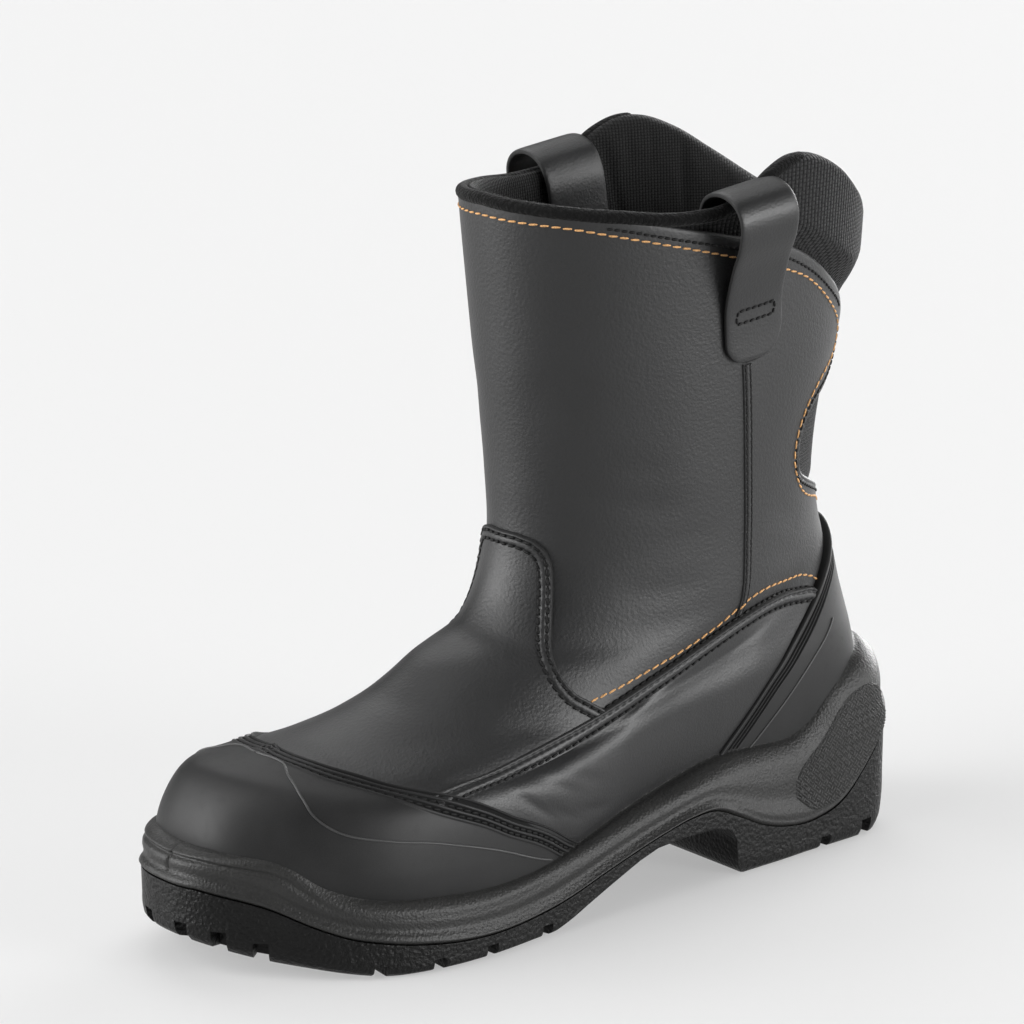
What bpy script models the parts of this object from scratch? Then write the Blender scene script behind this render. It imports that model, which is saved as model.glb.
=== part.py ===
"""Pull-on safety boot for the left foot, at rest on its sole.

The boot's own coordinates are in millimetres: along runs from the heel's back to the toe, across
runs from the middle to the outer side, and height runs up from the floor. In the scene the toe
points to -X and the outer side to -Y.
"""

import math

import bmesh
import bpy
import numpy as np
from mathutils import Matrix, Vector

# Driving dimensions, in millimetres
MM = 0.001
LENGTH = 300.0
BALL_WIDTH = 100.0
HEEL_HEIGHT = 40.0
INSTEP_HEIGHT = 82.0
SHAFT_HEIGHT = 247.0
ORIGIN_ALONG = 150.0
ORIGIN_ACROSS = -0.3

# Materials' thicknesses and the gaps between pieces
LEATHER = 2.0
FIT_GAP = 0.3
OVERLAY_GAP = 0.4
VAMP_GAP = 0.55
EDGE_GAP = 0.06
CAP_THICKNESS = 1.8
COUNTER_THICKNESS = 1.8
QUARTER_THICKNESS = 1.4
VAMP_THICKNESS = 1.2
SEAM_THICKNESS = 0.9
SEAM_HALF_ANGLE = 2.4
LIP_THICKNESS = 2.6
INSOLE_THICKNESS = 4.0
INSOLE_CLEARANCE = 0.6
LINING_GAP = 0.8
LINING_THICKNESS = 3.0

# The mesh that every piece of the upper shares: columns round the boot, rows of equal level
COLUMNS = 56
COLUMN_DEGREES = np.arange(COLUMNS + 1) * 360.0 / COLUMNS
LEVELS = np.append(np.arange(0.0, 5.1, 0.5), (5.5, 6.0, 6.5, 7.0, 7.5, 8.3, 9.2, 11.0))
LEAST_COLUMN_DEGREES = 1.0
SNAP = 0.1
WELD = 1e-6
NORMAL_STEP = 0.05
SHARP_DEGREES = 40.0

# Pull loops: a strap laid on the shaft's side, folded over the collar and sewn inside it
LOOP_WIDTH = 30.0
LOOP_THICKNESS = 2.2
LOOP_FOOT_ALONG = 85.5
LOOP_FOOT_HEIGHT = 189.0
LOOP_LEAN_DEGREES = 7.0
LOOP_END_ROUND = 11.0
LOOP_STEPS = 21
LOOP_STRIPS = 2

# Outsole: depth and width of the cuts between its lugs
TREAD_DEPTH = 4.5
GROOVE_WIDTH = 5.0
NOTCH_WIDTH = 5.5
NOTCH_REACH = 13.0
NOTCH_DEPTH = 6.0
CHANNEL_WIDTH = 7.0
CHANNEL_ENDS = (196.0, 240.0)
SOLE_BLUNT = 0.72
SOLE_OVERHANG = 3.0
SOLE_PROBE = 1.0
CUT_MARGIN = 12.0


class Table:
    """Rows of named columns. The first column is the key, and a smooth curve joins the rows."""

    def __init__(self, columns, *rows):
        self.names = columns.split()
        self.values = np.array(rows, float)

    def at(self, key, name):
        """Values of one column at any keys, held at the ends."""
        keys = self.values[:, 0]
        column = self.values[:, self.names.index(name)]
        slopes = np.gradient(column, keys)
        key = np.clip(np.asarray(key, float), keys[0], keys[-1])
        row = np.clip(np.searchsorted(keys, key, "right") - 1, 0, len(keys) - 2)
        step = keys[row + 1] - keys[row]
        part = (key - keys[row]) / step
        rise = part * part * (3 - 2 * part)
        bend = slopes[row] * part * (1 - part) ** 2 - slopes[row + 1] * part**2 * (1 - part)
        return column[row] * (1 - rise) + column[row + 1] * rise + bend * step


# Rings of the upper from the feather line, level 0, to above the collar. back and front are shares
# of the length, outer and inner shares of the ball width, rises are read by height(), and dip lowers
# the sides. A ring follows the foot's plan where oval is 0 and an ellipse where it is 1, blunt
# squares its ends, and keep is how far it follows the foot bed.
RINGS = Table(
    "level back back_rise front front_rise outer inner oval blunt keep dip",
    (0, 0.0333, 0.000, 0.9600, -0.238, 0.500, 0.480, 0.00, 0.72, 1.0, 0.00),
    (1, 0.0233, 0.381, 0.9750, 0.119, 0.520, 0.500, 0.00, 0.72, 0.9, 0.00),
    (2, 0.0350, 0.857, 0.9500, 0.548, 0.505, 0.460, 0.15, 0.74, 0.6, 0.17),
    (3, 0.0483, 1.085, 0.9067, 0.667, 0.445, 0.415, 0.45, 0.80, 0.3, 0.36),
    (4, 0.0550, 1.170, 0.7783, 0.774, 0.410, 0.385, 0.75, 0.90, 0.1, 0.38),
    (5, 0.0633, 1.236, 0.6567, 1.000, 0.400, 0.375, 0.95, 0.98, 0.0, 0.37),
    (6, 0.0707, 1.303, 0.5783, 1.088, 0.400, 0.380, 1.00, 1.00, 0.0, 0.33),
    (7, 0.0747, 1.388, 0.5390, 1.242, 0.410, 0.397, 1.00, 1.00, 0.0, 0.21),
    (8, 0.0693, 1.509, 0.5377, 1.430, 0.435, 0.420, 1.00, 0.98, 0.0, 0.12),
    (9, 0.0467, 1.703, 0.5507, 1.691, 0.470, 0.460, 1.00, 0.95, 0.0, 0.05),
    (10, 0.0367, 1.982, 0.5650, 2.000, 0.500, 0.505, 1.00, 0.93, 0.0, 0.00),
    (11, 0.0317, 2.139, 0.5700, 2.158, 0.515, 0.520, 1.00, 0.93, 0.0, 0.00),
)

# Plan of the foot: half widths against the ring's own, and the middle's shift towards the outer side
PLAN = Table(
    "share outer inner shift",
    (0.000, 1.02, 1.02, 0.000),
    (0.067, 0.92, 0.92, 0.000),
    (0.146, 0.80, 0.80, 0.000),
    (0.250, 0.70, 0.68, 0.000),
    (0.370, 0.67, 0.57, 0.000),
    (0.500, 0.75, 0.60, 0.000),
    (0.630, 0.92, 0.80, -0.005),
    (0.750, 1.08, 1.02, -0.025),
    (0.854, 1.20, 1.10, -0.050),
    (0.933, 1.18, 1.12, -0.065),
    (1.000, 1.12, 1.10, -0.070),
)

# Foot bed along the boot, as a rise
FOOT_BED = Table(
    "share rise",
    (0.000, 0.02),
    (0.200, -0.02),
    (0.327, -0.06),
    (0.417, -0.19),
    (0.487, -0.33),
    (0.537, -0.43),
    (0.590, -0.51),
    (0.667, -0.55),
    (0.750, -0.52),
    (0.833, -0.45),
    (0.900, -0.36),
    (1.000, -0.19),
)

# Plan of the sole: half widths as shares of the ball width, before its ends are rounded
SOLE_PLAN = Table(
    "share outer inner shift",
    (0.00, 0.740, 0.740, 0.000),
    (0.03, 0.690, 0.690, 0.000),
    (0.07, 0.595, 0.595, 0.000),
    (0.14, 0.505, 0.505, 0.000),
    (0.21, 0.478, 0.470, 0.000),
    (0.29, 0.462, 0.438, 0.000),
    (0.40, 0.450, 0.390, 0.000),
    (0.50, 0.470, 0.405, 0.000),
    (0.60, 0.515, 0.470, 0.000),
    (0.69, 0.590, 0.545, -0.012),
    (0.76, 0.640, 0.585, -0.027),
    (0.83, 0.655, 0.600, -0.043),
    (0.90, 0.610, 0.595, -0.055),
    (0.95, 0.540, 0.560, -0.065),
    (1.00, 0.500, 0.520, -0.070),
)

# Heights of the sole's side, as shares of the heel height: the line where outsole meets midsole,
# and the tread's edge
SOLE_SIDE = Table(
    "share parting tread",
    (0.000, 1.120, 0.15),
    (0.030, 0.930, 0.02),
    (0.060, 0.700, 0.00),
    (0.100, 0.430, 0.00),
    (0.150, 0.310, 0.00),
    (0.200, 0.330, 0.00),
    (0.245, 0.420, 0.00),
    (0.287, 0.570, 0.00),
    (0.323, 0.680, 0.00),
    (0.363, 0.670, 0.00),
    (0.407, 0.600, 0.00),
    (0.490, 0.440, 0.00),
    (0.580, 0.265, 0.00),
    (0.680, 0.205, 0.00),
    (0.773, 0.250, 0.00),
    (0.830, 0.315, 0.01),
    (0.870, 0.385, 0.06),
    (0.905, 0.500, 0.12),
    (0.940, 0.645, 0.18),
    (1.000, 0.800, 0.33),
)

# Side of the midsole between parting line and lip: share of the height, and how far it stands out
MIDSOLE_SIDE = Table(
    "rise out",
    (0.00, -0.8),
    (0.10, 0.7),
    (0.20, 0.5),
    (0.30, -0.4),
    (0.60, 0.5),
    (0.85, 0.9),
    (1.00, 0.0),
)

# The midsole's lip stays below this level of the upper
MIDSOLE_LIP_LEVEL = 2.1

# Side of the outsole from its top to its tread: share of the height, and how far it stands in
OUTSOLE_SIDE = Table("drop inset", (0.0, 0.0), (0.45, 0.2), (0.88, 0.5), (1.0, 1.5))

# Profile of the hollow under the shank, cut right across the outsole
ARCH = (
    (86.0, -CUT_MARGIN),
    (86.5, 14.0),
    (89.5, 18.5),
    (97.0, 20.5),
    (112.0, 20.5),
    (125.0, 19.6),
    (134.0, 17.0),
    (150.0, 10.8),
    (165.0, 4.8),
    (178.0, 0.0),
    (184.0, -CUT_MARGIN),
)

# Grooves right across the tread, and notches in its edge at these angles round the sole
GROOVES = Table(
    "along lean",
    (44.0, 6.0),
    (187.0, 8.0),
    (211.0, 4.0),
    (226.0, -4.0),
    (244.0, -8.0),
)
NOTCH_DEGREES = (30.0, 330.0, 152.0, 162.0, 174.5, 185.5, 198.0, 208.0)

# Edges on the upper's face: levels at angles in degrees from the centre back, alike on both sides
LIP = Table(
    "degrees level",
    (0, 1.65),
    (16, 1.57),
    (29, 1.33),
    (38, 0.91),
    (42, 0.52),
    (46, 0.32),
    (55, 0.30),
    (64, 0.35),
    (76, 0.27),
    (88, 0.32),
    (101, 0.36),
    (122, 0.40),
    (140, 0.48),
    (145, 0.62),
    (150, 0.87),
    (166, 0.98),
    (180, 0.94),
)
CAP_EDGE = Table(
    "degrees level",
    (0, 0.00),
    (88, 0.00),
    (94, 0.36),
    (100, 1.07),
    (110, 1.72),
    (124, 2.52),
    (140, 3.06),
    (157, 3.31),
    (180, 3.45),
)
COUNTER_EDGE = Table(
    "degrees level",
    (0, 4.75),
    (8, 4.60),
    (16, 4.05),
    (25, 3.46),
    (36, 3.06),
    (47, 2.57),
    (57, 1.51),
    (62, 0.80),
    (65, 0.30),
    (70, 0.00),
    (180, 0.00),
)
QUARTER_EDGE = Table(
    "degrees level",
    (0, 1.60),
    (30, 3.29),
    (51, 4.28),
    (66, 4.95),
    (74, 5.06),
    (83, 4.85),
    (90, 4.62),
    (103, 4.10),
    (110, 3.77),
    (117, 3.37),
    (124, 2.74),
    (130, 1.90),
    (140, 0.00),
    (180, 0.00),
)
VAMP_EDGE = Table(
    "degrees level",
    (0, 0.00),
    (90, 2.90),
    (103, 4.16),
    (107, 4.40),
    (122, 5.00),
    (133, 5.47),
    (142, 5.95),
    (148, 6.41),
    (151, 6.84),
    (155, 7.22),
    (162, 7.33),
    (180, 7.35),
)
LEATHER_EDGE = Table(
    "degrees level",
    (0, 8.70),
    (22, 8.75),
    (30, 8.93),
    (37, 9.09),
    (52, 9.33),
    (63, 9.49),
    (72, 9.60),
    (95, 9.77),
    (111, 9.87),
    (129, 9.98),
    (150, 10.06),
    (180, 10.10),
)

# Ends of the pieces laid on the upper, in degrees from the centre back
CAP_START = 95.0
COUNTER_END = 63.0
QUARTER_ENDS = (34.0, 121.0)
VAMP_START = 105.0

# The raised seam down each side of the shaft
SEAM = Table("level degrees", (5.25, 74.6), (5.80, 76.5), (6.90, 80.8), (8.10, 84.8), (8.80, 88.6))
SEAM_ROWS = 9
SEAM_POINTS = 3

# Opening at the shaft's back, as seen from behind: half width at each height
REAR_OPENING = Table(
    "height half",
    (127.0, 0.0),
    (129.0, 10.0),
    (133.0, 20.0),
    (140.0, 31.5),
    (149.0, 35.5),
    (160.0, 36.3),
    (169.0, 34.0),
    (177.0, 26.0),
    (184.0, 22.0),
    (190.0, 20.5),
    (200.0, 20.5),
)
REAR_OPENING_STEPS = 22
REAR_OPENING_DEPTH = (-30.0, 82.0)

# Padded collar: lower edge inside the shaft, rim, how far it swells over the leather, and its padding
COLLAR = Table(
    "degrees skirt rim swell padding",
    (0, 4.9, 228.0, 4.0, 4.0),
    (28, 5.3, 238.0, 5.5, 5.0),
    (45, 6.2, 254.0, 5.5, 5.5),
    (62, 7.6, 260.0, 4.5, 5.0),
    (76, 8.7, 252.0, 1.8, 3.6),
    (90, 8.9, 248.5, 1.0, 3.2),
    (105, 8.9, 249.0, 0.8, 3.2),
    (130, 8.9, 251.0, 0.6, 3.2),
    (155, 8.9, 253.5, 0.6, 3.2),
    (180, 8.9, 255.0, 0.6, 3.2),
)
COLLAR_LEVELS = np.sort(np.append(LEVELS, (8.0, 8.7, 8.95)))
COLLAR_RISES = (0.2, 0.45, 0.7, 1.0)
COLLAR_INNER_RISES = (1.0, 0.8, 0.55, 0.3, 0.0)
COLLAR_SHOWS = (4.0, 14.0)
COLLAR_PANEL_SWELL = 1.2
COLLAR_PANEL_HEIGHTS = (200.0, 222.0)
COLLAR_RIM_ROUND = 0.12
COLLAR_THIN_LEVELS = 1.0
RIM_SEARCH = np.linspace(8.5, 11.0, 120)

# Strap of a pull loop: distance from its lower end along the strap, and from the leather's face
LOOP_PATH = Table(
    "step rise out",
    (0.0, 0.0, 0.4),
    (1.0, 12.0, 0.4),
    (2.0, 25.0, 0.7),
    (3.0, 39.0, 2.8),
    (4.0, 51.0, 5.2),
    (5.0, 61.0, 5.6),
    (6.0, 68.5, 2.6),
    (7.0, 71.0, -3.2),
    (8.0, 68.0, -9.0),
    (9.0, 59.0, -11.6),
    (10.0, 47.0, -11.4),
    (11.0, 34.0, -10.8),
)
WALL_SEARCH = np.linspace(6.0, 11.0, 200)

# Looks of each material: linear colour, roughness
LOOKS = {
    "leather": ((0.030, 0.030, 0.031, 1.0), 0.42),
    "smooth_leather": ((0.034, 0.034, 0.035, 1.0), 0.38),
    "cap_rubber": ((0.032, 0.032, 0.033, 1.0), 0.55),
    "midsole_foam": ((0.026, 0.025, 0.022, 1.0), 0.62),
    "outsole_rubber": ((0.018, 0.018, 0.017, 1.0), 0.72),
    "textile": ((0.010, 0.010, 0.011, 1.0), 0.90),
    "insole_felt": ((0.030, 0.030, 0.032, 1.0), 0.95),
}


def height(rise):
    """Height of a rise: 0 is the heel seat, 1 the top of the instep and 2 the collar's front."""
    foot = HEEL_HEIGHT + rise * (INSTEP_HEIGHT - HEEL_HEIGHT)
    shaft = INSTEP_HEIGHT + (rise - 1) * (SHAFT_HEIGHT - INSTEP_HEIGHT)
    return np.where(rise < 1, foot, shaft)


def bed_height(along):
    """Height of the foot bed."""
    return height(FOOT_BED.at(along / LENGTH, "rise"))


def surface(degrees, level):
    """Points of the upper's outer face, at angles from the centre back and levels from the sole."""
    degrees, level = np.broadcast_arrays(np.asarray(degrees, float), np.asarray(level, float))
    ring = {name: RINGS.at(level, name) for name in RINGS.names[1:]}
    share = (1 - np.cos(np.radians(degrees))) / 2
    side = np.sin(np.radians(degrees))
    on_outer = side >= 0
    along = (ring["back"] + (ring["front"] - ring["back"]) * share) * LENGTH
    plan = np.where(on_outer, PLAN.at(share, "outer"), PLAN.at(share, "inner"))
    width = np.where(on_outer, ring["outer"], ring["inner"]) * BALL_WIDTH
    width = width * (plan + (1 - plan) * ring["oval"])
    shift = PLAN.at(share, "shift") * BALL_WIDTH * (1 - ring["oval"])
    across = shift + np.sign(side) * np.abs(side) ** ring["blunt"] * width
    back = height(ring["back_rise"])
    front = height(ring["front_rise"])
    seat = height(RINGS.at(0, "back_rise"))
    feather = seat + (height(RINGS.at(0, "front_rise")) - seat) * share
    sag = ring["keep"] * (bed_height(along) - feather)
    dip = ring["dip"] * (INSTEP_HEIGHT - HEEL_HEIGHT) * side**2
    return np.stack((along, across, back + (front - back) * share + sag - dip), -1)


def offset(degrees, level, out):
    """Points at a distance from the upper's outer face, outwards where it is positive."""
    turn = surface(degrees + NORMAL_STEP, level) - surface(degrees - NORMAL_STEP, level)
    climb = surface(degrees, level + NORMAL_STEP) - surface(degrees, level - NORMAL_STEP)
    normal = np.cross(climb, turn)
    normal = normal / np.linalg.norm(normal, axis=-1, keepdims=True)
    return surface(degrees, level) + normal * np.asarray(out, float)[..., None]


def place(points):
    """Scene coordinates, in metres, of points in the boot's own coordinates."""
    points = np.asarray(points, float)
    along, across, rise = points[..., 0], points[..., 1], points[..., 2]
    return np.stack((ORIGIN_ALONG - along, ORIGIN_ACROSS - across, rise), -1) * MM


def folded(degrees):
    """Angles from the centre back, alike on the outer and the inner side."""
    turned = np.asarray(degrees, float) % 360
    return np.minimum(turned, 360 - turned)


def edge(table, degrees, name="level"):
    """An edge's value, straight between the shared columns so that neighbours follow each other."""
    knots = table.at(folded(COLUMN_DEGREES), name)
    return np.interp(np.asarray(degrees, float) % 360, COLUMN_DEGREES, knots)


def smooth_step(low, high, value):
    """0 below low, 1 above high and a soft ramp between."""
    part = np.clip((value - low) / (high - low), 0, 1)
    return part * part * (3 - 2 * part)


def columns_between(start, end):
    """Angles of the shared columns between two ends, with the ends themselves."""
    step = 360.0 / COLUMNS
    inner = np.arange(math.floor(start / step) + 1, math.ceil(end / step)) * step
    inner = inner[np.minimum(inner - start, end - inner) > LEAST_COLUMN_DEGREES]
    return np.concatenate(([start], inner, [end]))


def rows_between(bottom, top, levels=LEVELS):
    """The shared levels, clamped between two edges, with an edge close to a level moved onto it."""
    levels = np.broadcast_to(levels[:, None], (len(levels), len(bottom)))
    levels = np.where(np.abs(levels - bottom) < SNAP, bottom, levels)
    levels = np.where(np.abs(levels - top) < SNAP, top, levels)
    return np.clip(levels, bottom, top)


def material(name):
    """A Principled material in one of the boot's looks."""
    colour, roughness = LOOKS[name]
    made = bpy.data.materials.new(name)
    made.use_nodes = True
    shader = made.node_tree.nodes["Principled BSDF"]
    shader.inputs["Base Color"].default_value = colour
    shader.inputs["Roughness"].default_value = roughness
    made.diffuse_color = colour
    return made


def to_object(name, mesh_data, collection, look):
    """An object in a collection, from a bmesh that is freed."""
    mesh = bpy.data.meshes.new(name)
    mesh_data.to_mesh(mesh)
    mesh_data.free()
    mesh.shade_smooth()
    mesh.set_sharp_from_angle(angle=math.radians(SHARP_DEGREES))
    made = bpy.data.objects.new(name, mesh)
    made.data.materials.append(material(look))
    collection.objects.link(made)
    return made


def loft(rows, wrap_columns=False, wrap_rows=False):
    """A bmesh of quads through rows of points, with its points row by row."""
    grid = bmesh.new()
    verts = [[grid.verts.new(point) for point in row] for row in place(rows)]
    row_count = len(verts)
    column_count = len(verts[0])
    for row in range(row_count if wrap_rows else row_count - 1):
        for column in range(column_count if wrap_columns else column_count - 1):
            above = (row + 1) % row_count
            beside = (column + 1) % column_count
            low = (verts[row][column], verts[row][beside])
            high = (verts[above][column], verts[above][beside])
            grid.faces.new((low[0], high[0], high[1], low[1]))
    return grid, verts


def weld(grid):
    """Joins points that coincide, which closes the ends of clamped rows."""
    bmesh.ops.remove_doubles(grid, verts=grid.verts, dist=WELD)
    return grid


def bridge_across(grid, ring):
    """Closes a ring of the sole with flat strips from its outer to its inner side."""
    count = len(ring)
    for step in range(count // 2):
        strip = [ring[step], ring[step + 1], ring[-step - 1], ring[-step]]
        grid.faces.new(dict.fromkeys(strip))


def thicken(made, thickness, side):
    """Gives a sheet its wall: side 1 grows it outwards, -1 inwards and 0 both ways."""
    wall = made.modifiers.new("wall", "SOLIDIFY")
    wall.thickness = thickness * MM
    wall.offset = side
    wall.use_even_offset = False


def cut(made, cutter):
    """Takes a cutter's volume out of a piece."""
    taken = made.modifiers.new(cutter.name, "BOOLEAN")
    taken.operation = "DIFFERENCE"
    taken.solver = "EXACT"
    taken.object = cutter


def to_cutter(name, mesh_data, cutters):
    """A hidden object that only cuts others."""
    bmesh.ops.recalc_face_normals(mesh_data, faces=mesh_data.faces)
    made = to_object(name, mesh_data, cutters, "textile")
    made.hide_render = True
    made.display_type = "WIRE"
    return made


def prism(outline, shift):
    """A bmesh of a flat outline pushed along a vector, both in the boot's own coordinates."""
    solid = bmesh.new()
    face = solid.faces.new([solid.verts.new(point) for point in place(outline)])
    pushed = bmesh.ops.extrude_face_region(solid, geom=[face])
    moved = [item for item in pushed["geom"] if isinstance(item, bmesh.types.BMVert)]
    along, across, rise = shift
    bmesh.ops.translate(solid, verts=moved, vec=Vector((-along, -across, rise)) * MM)
    return solid


def wall_across(along, rise, side):
    """How far the shaft's outer face lies from the middle at a place seen from the side."""
    back = RINGS.at(WALL_SEARCH, "back") * LENGTH
    front = RINGS.at(WALL_SEARCH, "front") * LENGTH
    turn = np.degrees(np.arccos(np.clip(1 - 2 * (along - back) / (front - back), -1, 1)))
    points = surface(side * turn, WALL_SEARCH)
    return np.interp(rise, points[:, 2], points[:, 1])


def sole_outline(degrees, inset=0.0):
    """Plan of the sole at angles from the centre back, as along and across."""
    degrees = np.asarray(degrees, float)
    share = (1 - np.cos(np.radians(degrees))) / 2
    side = np.sin(np.radians(degrees))
    width = np.where(side >= 0, SOLE_PLAN.at(share, "outer"), SOLE_PLAN.at(share, "inner")) * BALL_WIDTH
    shift = SOLE_PLAN.at(share, "shift") * BALL_WIDTH
    across = shift + np.sign(side) * np.abs(side) ** SOLE_BLUNT * (width - inset)
    start = inset - SOLE_OVERHANG
    along = start + (LENGTH - 2 * start) * share
    return along, across


def sole_height(along, name):
    """Height of one of the lines along the sole's side."""
    return np.maximum(SOLE_SIDE.at(along / LENGTH, name), 0) * HEEL_HEIGHT


def build_upper(parts, cutters):
    """The leather upper: one open shell from feather line to collar, with the opening at its back."""
    degrees = COLUMN_DEGREES[:-1]
    levels = rows_between(np.zeros(COLUMNS), edge(LEATHER_EDGE, degrees))
    grid, _ = loft(surface(degrees, levels), wrap_columns=True)
    upper = to_object("upper", weld(grid), parts, "leather")
    thicken(upper, LEATHER, -1)
    heights = np.linspace(REAR_OPENING.values[0, 0], REAR_OPENING.values[-1, 0], REAR_OPENING_STEPS)
    half = REAR_OPENING.at(heights, "half")
    start, end = REAR_OPENING_DEPTH
    right = [(start, across, rise) for across, rise in zip(half, heights)]
    left = [(start, -across, rise) for across, rise in zip(half[:0:-1], heights[:0:-1])]
    opening = prism(right + left, (end - start, 0, 0))
    cut(upper, to_cutter("rear_opening", opening, cutters))


def build_overlay(name, parts, look, degrees, bottom, top, thickness, gap=OVERLAY_GAP):
    """A piece laid on the upper between two edges, on the upper's own face and mesh."""
    levels = rows_between(bottom, top)
    grid, _ = loft(offset(degrees, levels, np.full(levels.shape, gap)))
    made = to_object(name, weld(grid), parts, look)
    thicken(made, thickness, 1)


def build_overlays(parts):
    """Toe cap, heel counter, quarters and vamp, each stopping short of its neighbours."""
    cap = columns_between(CAP_START, 360 - CAP_START)
    build_overlay(
        "toe_cap", parts, "cap_rubber", cap, edge(LIP, cap) + EDGE_GAP, edge(CAP_EDGE, cap), CAP_THICKNESS
    )
    counter = columns_between(-COUNTER_END, COUNTER_END)
    build_overlay(
        "heel_counter",
        parts,
        "cap_rubber",
        counter,
        edge(LIP, counter) + EDGE_GAP,
        edge(COUNTER_EDGE, counter),
        COUNTER_THICKNESS,
    )
    start, end = QUARTER_ENDS
    for name, low, high in (("quarter_outer", start, end), ("quarter_inner", 360 - end, 360 - start)):
        side = columns_between(low, high)
        bottom = np.maximum(edge(LIP, side), np.maximum(edge(CAP_EDGE, side), edge(COUNTER_EDGE, side)))
        top = edge(QUARTER_EDGE, side)
        build_overlay(name, parts, "smooth_leather", side, bottom + EDGE_GAP, top, QUARTER_THICKNESS)
    vamp = columns_between(VAMP_START, 360 - VAMP_START)
    bottom = np.maximum(edge(CAP_EDGE, vamp), edge(QUARTER_EDGE, vamp))
    top = edge(VAMP_EDGE, vamp)
    build_overlay("vamp", parts, "leather", vamp, bottom + EDGE_GAP, top, VAMP_THICKNESS, VAMP_GAP)


def build_side_seams(parts):
    """The raised seam down each side of the shaft, from the pull loop to the quarter."""
    levels = np.linspace(SEAM.values[0, 0], SEAM.values[-1, 0], SEAM_ROWS)[:, None]
    spread = np.linspace(-SEAM_HALF_ANGLE, SEAM_HALF_ANGLE, SEAM_POINTS)
    for name, side in (("side_seam_outer", 1), ("side_seam_inner", -1)):
        degrees = side * SEAM.at(levels, "degrees") + spread
        rows = offset(degrees, np.broadcast_to(levels, degrees.shape), np.full(degrees.shape, OVERLAY_GAP))
        grid, _ = loft(rows)
        thicken(to_object(name, grid, parts, "leather"), SEAM_THICKNESS, 1)


def level_of_height(degrees, rise):
    """Level at which each angle's line up the upper reaches a height near the collar."""
    found = []
    for angle, goal in zip(degrees, rise):
        heights = surface(np.full(RIM_SEARCH.shape, angle), RIM_SEARCH)[:, 2]
        found.append(np.interp(goal, heights, RIM_SEARCH))
    return np.array(found)


def collar_swell(degrees, levels):
    """How far the padding stands from its hidden line, where no leather covers it."""
    points = surface(degrees, levels)
    leather_top = surface(degrees, edge(LEATHER_EDGE, degrees))[:, 2]
    opening = REAR_OPENING.at(points[..., 2], "half") - np.abs(points[..., 1])
    behind = (points[..., 0] < REAR_OPENING_DEPTH[1]) & (points[..., 2] < REAR_OPENING.values[-1, 0])
    clear = np.maximum(points[..., 2] - leather_top, np.where(behind, opening, -1.0))
    lobe = smooth_step(*COLLAR_PANEL_HEIGHTS, points[..., 2])
    most = COLLAR_PANEL_SWELL + edge(COLLAR, degrees, "swell") * lobe
    return smooth_step(*COLLAR_SHOWS, clear) * most


def build_collar(parts):
    """The padded textile collar: inside the leather, up over its edge in two lobes, and back down."""
    degrees = COLUMN_DEGREES[:-1]
    skirt = edge(COLLAR, degrees, "skirt")
    rim = level_of_height(degrees, edge(COLLAR, degrees, "rim"))
    padding = edge(COLLAR, degrees, "padding")
    shoulder = rim - COLLAR_RIM_ROUND
    covered = edge(LEATHER_EDGE, degrees)
    rises = np.array(COLLAR_RISES)[:, None]
    outer = np.concatenate(
        (rows_between(skirt, covered, COLLAR_LEVELS), covered + (shoulder - covered) * rises)
    )
    inner = skirt + (shoulder - skirt) * np.array(COLLAR_INNER_RISES)[:, None]
    hidden = -(LEATHER + LINING_GAP)
    outer_rows = offset(degrees, outer, hidden + collar_swell(degrees, outer))
    padded = smooth_step(skirt + COLLAR_THIN_LEVELS, rim, inner)
    depth = LINING_THICKNESS + (padding - LINING_THICKNESS) * padded
    inner_rows = offset(degrees, inner, hidden - depth)
    middle = (collar_swell(degrees, outer)[-1] - padding) / 2
    crest = offset(degrees, rim, hidden + middle)
    rows = np.concatenate((outer_rows, crest[None], inner_rows))
    grid, _ = loft(rows, wrap_columns=True, wrap_rows=True)
    weld(grid)
    bmesh.ops.recalc_face_normals(grid, faces=grid.faces)
    to_object("collar", grid, parts, "textile")


def build_pull_loop(name, parts, side):
    """One pull loop: a strap up the shaft's side, over the collar and down inside it."""
    lean = math.radians(LOOP_LEAN_DEGREES)
    up = np.array((math.sin(lean), math.cos(lean)))
    back = np.array((-math.cos(lean), math.sin(lean)))
    steps = np.linspace(0, LOOP_PATH.values[-1, 0], LOOP_STEPS)
    rise = LOOP_PATH.at(steps, "rise")
    out = LOOP_PATH.at(steps, "out") + LOOP_THICKNESS / 2
    travelled = np.concatenate(([0.0], np.cumsum(np.hypot(np.diff(rise), np.diff(out)))))
    rounded = np.clip(1 - travelled / LOOP_END_ROUND, 0, 1)
    half = LOOP_WIDTH / 2 - LOOP_END_ROUND * (1 - np.sqrt(1 - rounded**2))
    spread = np.linspace(-1, 1, LOOP_STRIPS + 1)
    rows = []
    for row in range(LOOP_STEPS):
        middle = np.array((LOOP_FOOT_ALONG, LOOP_FOOT_HEIGHT)) + up * rise[row]
        across = wall_across(*middle, side) + side * out[row]
        line = middle + np.outer(spread * half[row], back)
        rows.append(np.column_stack((line[:, 0], np.full(len(line), across), line[:, 1])))
    grid, _ = loft(np.array(rows))
    thicken(to_object(name, grid, parts, "smooth_leather"), LOOP_THICKNESS, 0)


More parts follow.
